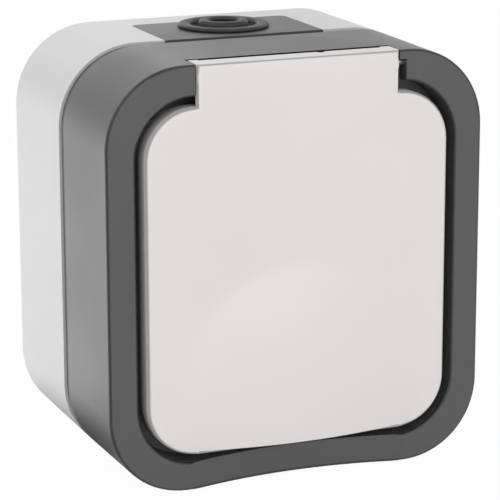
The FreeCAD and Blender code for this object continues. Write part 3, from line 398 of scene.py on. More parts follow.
FINISHES: dict[Slot, Plastic | Metal] = {
    # ASA from a finely textured tool: satin, an even and neutral light grey.
    Slot.HOUSING: Plastic(
        "light_grey_asa_moulded",
        colour="#D5D5D5",
        shade="#D3D3D3",
        roughness=0.45,
        grain_mm=0.20,
        grain_height_mm=0.0030,
    ),
    # ASA from a smoother tool: a little lighter and warmer, with painted shade on its edges.
    Slot.LID: Plastic(
        "light_grey_asa_smooth",
        colour="#E2DEDD",
        shade="#E0DCDB",
        roughness=0.42,
        grain_mm=0.35,
        grain_height_mm=0.0015,
        edge=PaintedEdgeShade("#A5A2A2", begins=(0.25, 0.45), ends=(0.80, 0.93)),
    ),
    # Urea, pressed in a polished mould: hard, with a clearer gloss than the housing.
    Slot.INSERT: Plastic(
        "light_grey_urea_moulded",
        colour="#D6D5D3",
        shade="#D3D2D0",
        roughness=0.33,
        grain_mm=0.30,
        grain_height_mm=0.0015,
        ior=1.55,
    ),
    # Polyamide from a spark-eroded tool: dark grey, light where it is seen at a low angle. Its
    # roundings and the scoop's lower rim carry painted shade, which makes them darker.
    Slot.FRAME: Plastic(
        "dark_grey_polyamide_eroded",
        colour="#4A494A",
        shade="#484848",
        roughness=0.42,
        grain_mm=0.18,
        grain_height_mm=0.0045,
        ior=1.53,
        gloss_level=0.55,
        edge=PaintedEdgeShade("#1A1A1B", upright_from_mm=20.0, painted_rim_mm=(-35.04, -34.78)),
    ),
    # Polyamide from a smoother tool: the same grey with less texture, and painted shade on its
    # front slope and front face.
    Slot.PLATE: Plastic(
        "dark_grey_polyamide_smooth",
        colour="#535354",
        shade="#515152",
        roughness=0.46,
        grain_mm=0.22,
        grain_height_mm=0.0030,
        ior=1.53,
        gloss_level=0.45,
        edge=PaintedEdgeShade("#141415", begins=(0.06, 0.14), ends=None),
    ),
    # Glass-filled polyamide: black, with a rough and slightly uneven skin.
    Slot.CARRIER: Plastic(
        "black_filled_polyamide",
        colour="#1F2022",
        shade="#242527",
        roughness=0.55,
        grain_mm=0.30,
        grain_height_mm=0.0080,
        ior=1.53,
    ),
    # EPDM rubber: near black with a soft sheen on its rings.
    Slot.SEAL: Elastomer("black_epdm_rubber", "#262627", "#2C2C2D", roughness=0.50),
    # Half-hard brass sheet, stamped and bent: warm yellow, streaked from rolling.
    Slot.BRASS: Metal("stamped_brass", "#D8B66A", "#C9A45A", roughness=0.32, streak_mm=2.5),
    # Zinc plate on steel, passivated: cool and cloudy silver.
    Slot.STEEL: Metal("zinc_plated_steel", "#C4C7CA", "#B2B5B9", roughness=0.34, streak_mm=1.6),
}


class Palette:
    """Makes each finish once and hands it out by slot."""

    def __init__(self) -> None:
        """Builds all the materials."""
        self.materials = {slot: finish.make() for slot, finish in FINISHES.items()}

    def dress(self, piece: bpy.types.Object, slot: Slot) -> None:
        """Gives a piece the finish of a slot, in place of what it has."""
        piece.data.materials.clear()
        piece.data.materials.append(self.materials[slot])


class Pick(Enum):
    """What kind of element is picked in edit mode."""

    VERTS = "VERT"
    EDGES = "EDGE"
    FACES = "FACE"


class Bench:
    """One mesh on the bench: a primitive that edit-mode operators shape, in millimetres.

    Attributes:
        piece: The Blender object that is being shaped.
    """

    def __init__(self, name: str) -> None:
        """Takes the primitive that was just added and puts its place and size into its mesh.

        Args:
            name: Name of the finished piece.
        """
        self.piece = bpy.context.object
        self.piece.name = name
        self.piece.data.name = name
        bpy.ops.object.transform_apply(location=True, rotation=True, scale=True)

    @staticmethod
    def clear() -> None:
        """Deselects everything, so that an operator acts on the new piece alone."""
        if bpy.context.object is not None and bpy.context.object.mode != "OBJECT":
            bpy.ops.object.mode_set(mode="OBJECT")
        bpy.ops.object.select_all(action="DESELECT")

    @classmethod
    def sheet(cls, name: str, x: Pair, z: Pair, depth: float) -> "Bench":
        """Starts from an upright plane that looks at the front.

        Args:
            name: Name of the piece.
            x: Left and right ends.
            z: Lower and upper ends.
            depth: Distance from the wall.

        Returns:
            The bench with the plane on it.
        """
        cls.clear()
        bpy.ops.mesh.primitive_plane_add(
            size=1.0,
            location=((x[0] + x[1]) / 2 * MM, -depth * MM, (z[0] + z[1]) / 2 * MM),
            rotation=FORWARDS,
        )
        bpy.context.object.scale = ((x[1] - x[0]) * MM, (z[1] - z[0]) * MM, 1.0)
        return cls(name)

    @classmethod
    def block(cls, name: str, low: Vector, high: Vector) -> "Bench":
        """Starts from a cube between two corners.

        Args:
            name: Name of the piece.
            low: Lowest corner.
            high: Highest corner.

        Returns:
            The bench with the block on it.
        """
        cls.clear()
        bpy.ops.mesh.primitive_cube_add(size=1.0, location=(low + high) / 2 * MM)
        bpy.context.object.scale = (high - low) * MM
        return cls(name)

    @classmethod
    def rod(
        cls,
        name: str,
        centre: Triple,
        radius: float,
        length: float,
        sides: int,
        turn: Triple = (0.0, 0.0, 0.0),
    ) -> "Bench":
        """Starts from a cylinder.

        Args:
            name: Name of the piece.
            centre: Its middle.
            radius: Its radius.
            length: Its length.
            sides: Its number of sides.
            turn: Its rotation, from one that stands upright.

        Returns:
            The bench with the rod on it.
        """
        cls.clear()
        bpy.ops.mesh.primitive_cylinder_add(
            vertices=sides,
            radius=radius * MM,
            depth=length * MM,
            location=tuple(c * MM for c in centre),
            rotation=turn,
        )
        return cls(name)

    def activate(self) -> None:
        """Selects the piece alone and makes it the active object."""
        self.clear()
        self.piece.select_set(True)
        bpy.context.view_layer.objects.active = self.piece

    def open(self) -> bmesh.types.BMesh:
        """Enters edit mode where it isn't on yet.

        Returns:
            The mesh that is edited.
        """
        if self.piece.mode != "EDIT":
            self.activate()
            bpy.ops.object.mode_set(mode="EDIT")
        return bmesh.from_edit_mesh(self.piece.data)

    def pick(self, kind: Pick, test: Test) -> None:
        """Selects the elements that pass a test, and stops the script where there are none.

        Args:
            kind: Vertices, edges or faces.
            test: Gets an element's middle in millimetres and its normal or direction.
        """
        mesh = self.open()
        bpy.ops.mesh.select_mode(type=kind.value)
        bpy.ops.mesh.select_all(action="DESELECT")
        if kind is Pick.VERTS:
            rows = [(vert, vert.co, vert.normal) for vert in mesh.verts]
        elif kind is Pick.EDGES:
            ends = [(edge, *(vert.co for vert in edge.verts)) for edge in mesh.edges]
            rows = [(edge, (a + b) / 2, (b - a).normalized()) for edge, a, b in ends]
        else:
            rows = [(face, face.calc_center_median(), face.normal) for face in mesh.faces]
        count = 0
        for element, place, way in rows:
            element.select_set(test(place / MM, way))
            count += element.select
        mesh.select_flush_mode()
        bmesh.update_edit_mesh(self.piece.data)
        if not count:
            raise ValueError(f"{self.piece.name}: nothing was picked")

    def extrude(self, by: Triple) -> None:
        """Extrudes what is selected.

        Args:
            by: The way, in millimetres.
        """
        bpy.ops.mesh.extrude_region_move(
            TRANSFORM_OT_translate={"value": tuple(step * MM for step in by)}
        )

    def resize(self, factors: Triple, centre: Triple) -> None:
        """Scales what is selected about a point.

        Args:
            factors: Factors along X, Y and Z.
            centre: The point, in millimetres.
        """
        bpy.ops.transform.resize(value=factors, center_override=tuple(c * MM for c in centre))

    def inset(self, width: float, rise: float = 0.0) -> None:
        """Insets the selected faces.

        Args:
            width: Width of the new ring, in millimetres.
            rise: How far the inner faces move along their normal.
        """
        bpy.ops.mesh.inset(thickness=width * MM, depth=rise * MM, use_even_offset=True)

    def slice(self, test: Test, place: Triple, normal: Triple) -> None:
        """Cuts the faces that pass a test along a plane.

        Args:
            test: Gets a face's middle in millimetres and its normal.
            place: A point of the plane.
            normal: The plane's normal.
        """
        self.pick(Pick.FACES, test)
        bpy.ops.mesh.bisect(
            plane_co=tuple(c * MM for c in place), plane_no=normal, use_fill=False, threshold=ON_CUT
        )

    def round_over(self, radius: float, steps: int) -> None:
        """Rounds the rim of the selected face as it rises, ring by ring.

        Args:
            radius: Radius of the rounding.
            steps: Number of rings.
        """
        for step in range(steps):
            low, high = (math.pi / 2 * (step + end) / steps for end in (0, 1))
            self.inset(
                radius * (math.cos(low) - math.cos(high)),
                radius * (math.sin(high) - math.sin(low)),
            )

    def apply(self, kind: str, settings: dict[str, object]) -> None:
        """Adds a modifier and applies it.

        Args:
            kind: The modifier's Blender type name.
            settings: Its properties.
        """
        self.activate()
        modifier = self.piece.modifiers.new(kind.lower(), kind)
        for name, value in settings.items():
            setattr(modifier, name, value)
        bpy.ops.object.modifier_apply(modifier=modifier.name)

    def combine(self, other: "Bench", operation: str) -> None:
        """Joins or cuts with another piece, which is used up.

        Args:
            other: The other piece.
            operation: UNION or DIFFERENCE.
        """
        self.apply("BOOLEAN", {"operation": operation, "object": other.piece, "solver": "EXACT"})
        bpy.data.objects.remove(other.piece, do_unlink=True)

    def finish(self, smooth_deg: float) -> bpy.types.Object:
        """Closes the mesh, turns its faces outwards and smooths what bends softly.

        Args:
            smooth_deg: Edges that bend less than this look smooth.

        Returns:
            The finished object.
        """
        self.open()
        bpy.ops.mesh.select_all(action="SELECT")
        bpy.ops.mesh.remove_doubles(threshold=MERGE)
        bpy.ops.mesh.normals_make_consistent(inside=False)
        self.activate()
        bpy.ops.object.shade_smooth_by_angle(angle=math.radians(smooth_deg))
        return self.piece


@dataclass
class EntryGrommet:
    """Soft membrane grommet in the top: an outer bead, a moat, an inner ring and a thin floor.

    Attributes:
        centre: Middle of the grommet on the plate's top.
        profile: Radius and height over the plate of each ring, from the outside to the middle.
        foot: The same for the part under the plate.
        sides: Number of sides of each ring.
    """

    centre: Triple = (0.0, -14.4, 35.5)
    profile: tuple[Pair, ...] = (
        # Up and over the outer bead.
        *((7.62, 0.00), (7.84, 0.15), (7.90, 0.38), (7.80, 0.58), (7.52, 0.72), (7.10, 0.75)),
        *((6.45, 0.75), (6.05, 0.70), (5.80, 0.55), (5.70, 0.30)),
        # Through the moat.
        *((5.68, -0.15), (5.55, -0.30), (4.45, -0.30), (4.32, -0.15)),
        # Over the inner ring.
        *((4.30, 0.70), (4.22, 1.00), (4.00, 1.22), (3.70, 1.30), (3.10, 1.30), (2.80, 1.22)),
        *((2.58, 1.00), (2.50, 0.78)),
        # Down the undercut bore and along its floor.
        *((3.05, -0.20), (3.20, -2.10), (3.00, -2.32), (0.60, -2.38), (0.30, -2.30)),
    )
    foot: tuple[Pair, ...] = (
        # Down through the plate's hole, round the lower bead and along the floor's underside.
        *((6.50, 0.00), (6.50, -3.20)),
        *((7.45, -3.20), (7.60, -3.35), (7.60, -4.05), (7.45, -4.20), (5.70, -4.20)),
        *((5.66, -2.60), (0.40, -2.60)),
    )
    sides: int = 96

    def build(self, palette: Palette) -> bpy.types.Object:
        """Models the grommet and dresses it.

        Args:
            palette: The finishes.

        Returns:
            The finished piece.
        """
        place = Vector(self.centre)
        rim, *rings = self.profile
        Bench.clear()
        bpy.ops.mesh.primitive_circle_add(
            vertices=self.sides, radius=rim[0] * MM, fill_type="NGON", location=place * MM
        )
        bench = Bench("grommet_membrane")
        bench.pick(Pick.FACES, lambda p, n: n.z > STRAIGHT)
        self.follow(bench, rim, rings)
        bench.pick(
            Pick.EDGES,
            lambda p, way: abs((p - place).xy.length - rim[0]) < NEAR and abs(p.z - place.z) < NEAR,
        )
        self.follow(bench, rim, self.foot)
        bpy.ops.mesh.edge_face_add()
        piece = bench.finish(50.0)
        palette.dress(piece, Slot.SEAL)
        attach(piece, "housing")
        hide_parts("entry_grommet")
        return piece

    def follow(self, bench: Bench, start: Pair, rings: Sequence[Pair]) -> None:
        """Carries the face or rim that is selected through the rings of a profile.

        Args:
            bench: The grommet.
            start: Radius and height of what is selected.
            rings: Radius and height of each further ring.
        """
        radius, height = start
        for next_radius, next_height in rings:
            bench.extrude((0.0, 0.0, next_height - height))
            factor = next_radius / radius
            bench.resize((factor, factor, 1.0), self.centre)
            radius, height = next_radius, next_height


@dataclass
class EntryPlate:
    """Slide-in plate under the grommet: square at the front, where it slopes down to the frame.

    Attributes:
        half: Half the width.
        rear: Distance of the rear edge from the wall.
        front: Distance of the front edge from the wall.
        top: Height of the top.
        thickness: Thickness of the plate.
        corner: Radius of the rear corners.
        lip: Width of the slope along the front edge.
        lip_edge: Radius between the top and that slope.
        flange: How far the flange underneath stands out at the sides and the rear.
        flange_thickness: Thickness of the flange.
        flange_front: How far the flange stays behind the front edge.
        flange_corner: Radius of the flange's corners.
        hole_depth: Distance of the grommet's hole from the wall.
        hole_radius: Radius of the grommet's hole.
        hole_sides: Number of sides of that hole.
    """

    half: float = 14.25
    rear: float = 7.0
    front: float = 26.45
    top: float = 35.5
    thickness: float = 2.1
    corner: float = 1.5
    lip: float = 2.05
    lip_edge: float = 0.2
    flange: float = 1.5
    flange_thickness: float = 1.0
    flange_front: float = 2.4
    flange_corner: float = 0.6
    hole_depth: float = 14.4
    hole_radius: float = 6.6
    hole_sides: int = 64

    def build(self, palette: Palette) -> bpy.types.Object:
        """Models the plate and dresses it.

        Args:
            palette: The finishes.

        Returns:
            The finished piece.
        """
        under = self.top - self.thickness
        bench = Bench.block(
            "entry_lid_plate",
            Vector((-self.half, -self.front, under)),
            Vector((self.half, -self.rear, self.top)),
        )
        bench.pick(Pick.EDGES, lambda p, way: abs(way.z) > STRAIGHT and abs(p.y + self.rear) < NEAR)
        bpy.ops.mesh.bevel(offset=self.corner * MM, segments=10)
        bench.pick(Pick.EDGES, self.crosswise_on_top(self.front))
        bpy.ops.mesh.bevel(offset=self.lip * MM, segments=1)
        bench.pick(Pick.EDGES, self.crosswise_on_top(self.front - self.lip))
        bpy.ops.mesh.bevel(offset=self.lip_edge * MM, segments=4)
        wide = self.half + self.flange
        foot = Bench.block(
            "flange",
            Vector((-wide, -(self.front - self.flange_front), under - self.flange_thickness)),
            Vector((wide, -(self.rear - self.flange), under)),
        )
        foot.pick(Pick.EDGES, lambda p, way: abs(way.z) > STRAIGHT)
        bpy.ops.mesh.bevel(offset=self.flange_corner * MM, segments=4)
        bench.combine(foot, "UNION")
        middle = (0.0, -self.hole_depth, under)
        through = 4 * self.thickness
        hole = Bench.rod("hole", middle, self.hole_radius, through, self.hole_sides)
        bench.combine(hole, "DIFFERENCE")
        piece = bench.finish(30.0)
        palette.dress(piece, Slot.PLATE)
        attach(piece, "housing")
        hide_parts("entry_plate")
        return piece

    def crosswise_on_top(self, depth: float) -> Test:
        """Gives a test for edges along X on the top, at a depth.

        Args:
            depth: Their distance from the wall.

        Returns:
            The test.
        """
        lowest = self.top - self.thickness / 2
        return lambda p, way: abs(way.x) > STRAIGHT and p.z > lowest and abs(p.y + depth) < NEAR


@dataclass(frozen=True)
class Hinge:
    """Place of the hinge pin, which the lid and its spring share.

    Attributes:
        depth: Distance of the pin's axis from the wall.
        height: Height of the pin's axis.
    """

    depth: float = 45.0
    height: float = 33.0


@dataclass
class LidSpring:
    """Torsion spring on the hinge pin: a close-wound helix of round steel wire with two legs.

    Attributes:
        hinge: Place of the pin.
        mean_radius: Radius of the coil at the wire's middle.
        wire: Diameter of the wire.
        wire_sides: Number of sides of the wire.
        pitch: Distance from turn to turn.
        turns: Number of turns.
        turn_steps: Number of steps in a turn.
        front_leg: Length of the leg that presses on the lid.
        rear_leg: Length of the leg that rests in the frame.
    """

    hinge: Hinge = Hinge()
    mean_radius: float = 1.15
    wire: float = 0.56
    wire_sides: int = 12
    pitch: float = 0.6
    turns: int = 10
    turn_steps: int = 28
    front_leg: float = 1.1
    rear_leg: float = 1.0

    def build(self, palette: Palette) -> bpy.types.Object:
        """Winds the coil, draws out its legs and dresses it.

        Args:
            palette: The finishes.

        Returns:
            The finished piece.
        """
        bench = self.wind()
        self.draw_leg(bench, -1, -self.front_leg)
        self.draw_leg(bench, 1, self.rear_leg)
        bpy.ops.mesh.select_all(action="SELECT")
        place = (0.0, -self.hinge.depth * MM, self.hinge.height * MM)
        bpy.ops.transform.translate(value=place)
        piece = bench.finish(40.0)
        palette.dress(piece, Slot.STEEL)
        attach(piece, "housing")
        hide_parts("lid_spring")
        return piece

    def wind(self) -> Bench:
        """Winds the wire's outline into the coil, along X about the origin.

        Returns:
            The bench with the coil on it, open at both ends.
        """
        Bench.clear()
        bpy.ops.mesh.primitive_circle_add(
            vertices=self.wire_sides,
            radius=self.wire / 2 * MM,
            location=(-self.pitch * self.turns / 2 * MM, 0.0, -self.mean_radius * MM),
            rotation=FORWARDS,
        )
        bench = Bench("coil_spring")
        bench.apply(
            "SCREW",
            {
                "axis": "X",
                "angle": math.tau,
                "screw_offset": self.pitch * MM,
                "iterations": self.turns,
                "steps": self.turn_steps,
                "render_steps": self.turn_steps,
                "use_merge_vertices": False,
            },
        )
        return bench

    def draw_leg(self, bench: Bench, side: int, length: float) -> None:
        """Draws a leg out of one end of the coil and closes it.

        Args:
            bench: The spring.
            side: -1 for the left end, 1 for the right one.
            length: Length of the leg, along Y.
        """
        inner = self.pitch * self.turns / 2 - self.wire
        mesh = bench.open()
        bpy.ops.mesh.select_mode(type="EDGE")
        bpy.ops.mesh.select_non_manifold(extend=False)
        for edge in mesh.edges:
            middle = (edge.verts[0].co + edge.verts[1].co) / 2 / MM
            if edge.select and middle.x * side < inner:
                edge.select_set(False)
        mesh.select_flush_mode()
        bench.extrude((0.0, length, 0.0))
        bpy.ops.mesh.edge_face_add()


@dataclass
class Lid:
    """Sprung lid: rounded panel with a dome at its lower edge, a hinge tab and knuckles.

    Attributes:
        hinge: Place of the pin.
        face: Distance of the flat face from the wall.
        rear: Distance of the rim's rear from the wall.
        wall: Thickness of the panel and of its rim.
        half: Half the width.
        bottom: Height of the lower edge.
        top: Height of the shoulders.
        corner: Corner radius.
        edge: Radius of the rounding along the front.
        dome_radius: Outline radius of the dome.
        dome_height: Height of the dome's centre.
        dome_rise: Height of the dome over the face.
        dome_wall: How much less the underside of the dome rises.
        tab_half: Half the width of the hinge tab.
        tab_top: Height of the tab's top.
        tab_wall: Thickness of the tab.
        strip: Thickness of the strip along the tab's top.
        strip_rear: Distance of the strip's rear edge from the wall.
        ear_rear: Distance of the ears' rear edge from the wall.
        ear_width: Width of each ear.
        nick: Place of the nick in the strip's rear edge, along X and in height.
        nick_radius: Radius of that nick.
        nick_reach: Height of the cutter that makes it, which passes the strip.
        cell: Size of a cell of the face.
        knuckles: Left and right end of each knuckle.
        knuckle_radius: Radius of the knuckles.
        knuckle_edge: Bevel at the knuckles' ends.
        knuckle_front: How far the front of the knuckles is drawn out, into the tab.
        knuckle_up: How far the top of the knuckles is drawn out, into the strip.
        pin_hole: Radius of the hole for the pin.
        hole_length: Length of that hole.
        round_sides: Number of sides of the knuckles and of their hole.
    """

    hinge: Hinge = Hinge()
    face: float = 47.7
    rear: float = 44.6
    wall: float = 1.8
    half: float = 26.55
    bottom: float = -29.05
    top: float = 28.55
    corner: float = 8.5
    edge: float = 0.7
    dome_radius: float = 21.35
    dome_height: float = -20.15
    dome_rise: float = 3.0
    dome_wall: float = 0.3
    tab_half: float = 17.6
    tab_top: float = 35.35
    tab_wall: float = 1.2
    strip: float = 0.8
    strip_rear: float = 43.85
    ear_rear: float = 43.25
    ear_width: float = 1.6
    nick: Pair = (5.1, 35.0)
    nick_radius: float = 0.7
    nick_reach: float = 3.0
    cell: float = 1.45
    knuckles: tuple[Pair, ...] = ((-17.55, -13.6), (-7.0, -4.0), (4.0, 7.0), (13.6, 17.55))
    knuckle_radius: float = 1.7
    knuckle_edge: float = 0.1
    knuckle_front: float = 0.9
    knuckle_up: float = 0.25
    pin_hole: float = 0.81
    hole_length: float = 36.0
    round_sides: int = 32

    def build(self, palette: Palette) -> bpy.types.Object:
        """Models the lid and dresses it.

        Args:
            palette: The finishes.

        Returns:
            The finished piece.
        """
        bench = self.outline()
        self.shape_front(bench)
        self.swell(bench, self.face, self.dome_rise, self.dome_radius)
        self.close_back(bench)
        self.hollow_dome(bench)
        self.draw_strip(bench)
        self.add_knuckles(bench)
        piece = bench.finish(38.0)
        palette.dress(piece, Slot.LID)
        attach(piece, "cover")
        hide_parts("lid")
        return piece

    @staticmethod
    def upright_at(depth: float) -> Test:
        """Gives a test for faces that stand upright at a distance from the wall."""
        return lambda p, n: abs(n.y) > STRAIGHT and abs(p.y + depth) < NEAR

    def outline(self) -> Bench:
        """Makes the flat outline: panel with round corners, and the tab drawn up from its top.

        Returns:
            The bench with the outline on it.
        """
        bench = Bench.sheet(
            "lid_cover", (-self.half, self.half), (self.bottom, self.top), self.face - self.edge
        )
        bench.open()
        bpy.ops.mesh.select_all(action="SELECT")
        bpy.ops.mesh.bevel(affect="VERTICES", offset=self.corner * MM, segments=14, profile=0.5)
        for side in (-1, 1):
            bench.slice(lambda p, n: True, (self.tab_half * side, 0, 0), RIGHT)
        bench.pick(Pick.EDGES, lambda p, way: abs(p.z - self.top) < NEAR and abs(p.x) < 1.0)
        bench.extrude((0.0, 0.0, self.tab_top - self.top))
        bpy.ops.mesh.select_all(action="SELECT")
        bpy.ops.mesh.dissolve_limited(angle_limit=math.radians(0.5))
        return bench

    def shape_front(self, bench: Bench) -> None:
        """Rounds the front edge and divides the face into cells.

        Args:
            bench: The lid.
        """
        bench.pick(Pick.FACES, lambda p, n: True)
        bench.round_over(self.edge, 5)
        front = self.upright_at(self.face)
        columns = int((self.half - self.edge) / self.cell)
        for step in range(-columns, columns + 1):
            bench.slice(front, (step * self.cell, 0, 0), RIGHT)
        margin = self.edge + 0.2
        rows = int((self.tab_top - self.bottom) / self.cell)
        for step in range(-rows, rows + 1):
            height = self.dome_height + step * self.cell
            if self.bottom + margin < height < self.tab_top - margin:
                bench.slice(front, (0, 0, height), UP)

    def swell(self, bench: Bench, depth: float, rise: float, radius: float) -> None:
        """Lifts the cell corner in the middle of the dome and lets its neighbours follow.

        Args:
            bench: The lid.
            depth: Distance of the flat cells from the wall.
            rise: Height of the dome.
            radius: Its outline radius.
        """
        middle = Vector((0.0, -depth, self.dome_height))
        bench.pick(Pick.VERTS, lambda p, n: (p - middle).length < NEAR)
        bpy.ops.transform.translate(
            value=(0.0, -rise * MM, 0.0),
            use_proportional_edit=True,
            proportional_edit_falloff="INVERSE_SQUARE",
            proportional_size=radius * MM,
        )

    def close_back(self, bench: Bench) -> None:
        """Draws the rim back, closes it, and sinks the room behind the panel.

        Args:
            bench: The lid.
        """
        tab_rear = self.face - self.tab_wall
        bench.open()
        bpy.ops.mesh.select_mode(type="EDGE")
        bpy.ops.mesh.select_non_manifold(extend=False)
        bench.extrude((0.0, self.tab_wall, 0.0))
        bench.resize((1.0, 0.0, 1.0), (0.0, -tab_rear, 0.0))
        bpy.ops.mesh.edge_face_add()
        back = self.upright_at(tab_rear)
        bench.slice(back, (0, 0, self.top), UP)
        bench.pick(Pick.FACES, lambda p, n: back(p, n) and p.z < self.top)
        bench.extrude((0.0, tab_rear - self.rear, 0.0))
        bench.inset(self.wall)
        bench.extrude((0.0, self.rear - (self.face - self.wall), 0.0))

    def hollow_dome(self, bench: Bench) -> None:
        """Sinks the underside of the dome, with the rest of the lid hidden from the operator.

        Args:
            bench: The lid.
        """
        depth = self.face - self.wall
        floor = self.upright_at(depth)
        cell = self.cell * 2
        columns = int((self.half - self.wall) / cell)
        for step in range(-columns, columns + 1):
            bench.slice(floor, (step * cell, 0, 0), RIGHT)
        # From the rim under the dome to a few cells above it.
        for step in range(-2, 12):
            bench.slice(floor, (0, 0, self.dome_height + step * cell), UP)
        bench.pick(Pick.FACES, floor)
        bpy.ops.mesh.hide(unselected=True)
        self.swell(bench, depth, self.dome_rise - self.dome_wall, self.dome_radius - self.wall)
        bpy.ops.mesh.reveal(select=False)

    def draw_strip(self, bench: Bench) -> None:
        """Draws the top strip back from the tab, then its ears, and nicks its rear edge.

        Args:
            bench: The lid.
        """
        tab_rear = self.face - self.tab_wall
        strip_low = self.tab_top - self.strip
        back = self.upright_at(tab_rear)
        bench.slice(lambda p, n: back(p, n) and p.z > self.top, (0, 0, strip_low), UP)
        bench.pick(Pick.FACES, lambda p, n: back(p, n) and p.z > strip_low)
        bench.extrude((0.0, tab_rear - self.strip_rear, 0.0))
        end = self.upright_at(self.strip_rear)
        inner = self.tab_half - self.ear_width
        for side in (-1, 1):
            bench.slice(end, (inner * side, 0, 0), RIGHT)
        bench.pick(Pick.FACES, lambda p, n: end(p, n) and abs(p.x) > inner)
        bench.extrude((0.0, self.strip_rear - self.ear_rear, 0.0))
        place = (self.nick[0], -self.strip_rear, self.nick[1])
        nick = Bench.rod("nick", place, self.nick_radius, self.nick_reach, 24)
        bench.combine(nick, "DIFFERENCE")

    def add_knuckles(self, bench: Bench) -> None:
        """Joins the knuckles to the tab and drills the pin hole through them.

        Args:
            bench: The lid.
        """
        depth, height = self.hinge.depth, self.hinge.height
        sides = self.round_sides
        for left, right in self.knuckles:
            place = ((left + right) / 2, -depth, height)
            length = right - left
            knuckle = Bench.rod("knuckle", place, self.knuckle_radius, length, sides, SIDEWAYS)
            # What lies in front of the axis, and then the uppermost part.
            knuckle.pick(Pick.VERTS, lambda p, n: -p.y > depth + 0.2)
            bpy.ops.transform.translate(value=(0.0, -self.knuckle_front * MM, 0.0))
            knuckle.pick(Pick.VERTS, lambda p, n: p.z > height + 0.9)
            bpy.ops.transform.translate(value=(0.0, 0.0, self.knuckle_up * MM))
            bevel = {"width": self.knuckle_edge * MM, "segments": 1, "limit_method": "ANGLE"}
            knuckle.apply("BEVEL", bevel | {"angle_limit": math.radians(60)})
            bench.combine(knuckle, "UNION")
        middle = (0.0, -depth, height)
        hole = Bench.rod("hole", middle, self.pin_hole, self.hole_length, sides, SIDEWAYS)
        bench.combine(hole, "DIFFERENCE")


@dataclass
class CarriedNodes:
    """CAD nodes whose own shape is shown, with the finish of their slot.

    Attributes:
    """

    frame: dict[str, dict]

    def slots(self) -> dict[str, Slot]:
        """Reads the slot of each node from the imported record."""
        rows = self.frame["record"]["subparts"]
        return {row["node"]: Slot(row["material_slot"]) for row in rows}

    def dress(self, palette: Palette) -> None:
        """Gives each carried node its finish.

        Args:
            palette: The finishes.
        """
        slots = self.slots()
        for name, node in self.frame["nodes"].items():
            palette.dress(node, slots[name])
            LOG.info("carried node %s wears %s", name, slots[name].value)


@dataclass(frozen=True)
class Lamp:
    """Soft rectangular lamp.

    Attributes:
        name: Name of the lamp.
        place: Its position.
        size: Its width and height.
        power: Its power in watts.
    """

    name: str
    place: Triple
    size: Pair
    power: float

    def hang(self, target: Triple) -> None:
        """Hangs the lamp so that it looks at a point.

        Args:
            target: The point.
        """
        light = bpy.data.lights.new(self.name, "AREA")
        light.shape = "RECTANGLE"
        light.size, light.size_y = self.size
        light.energy = self.power
        lamp = bpy.data.objects.new(self.name, light)
        bpy.context.collection.objects.link(lamp)
        lamp.location = self.place
        lamp.rotation_mode = "QUATERNION"
        aim = Vector(target) - Vector(self.place)
        lamp.rotation_quaternion = aim.to_track_quat("-Z", "Y")


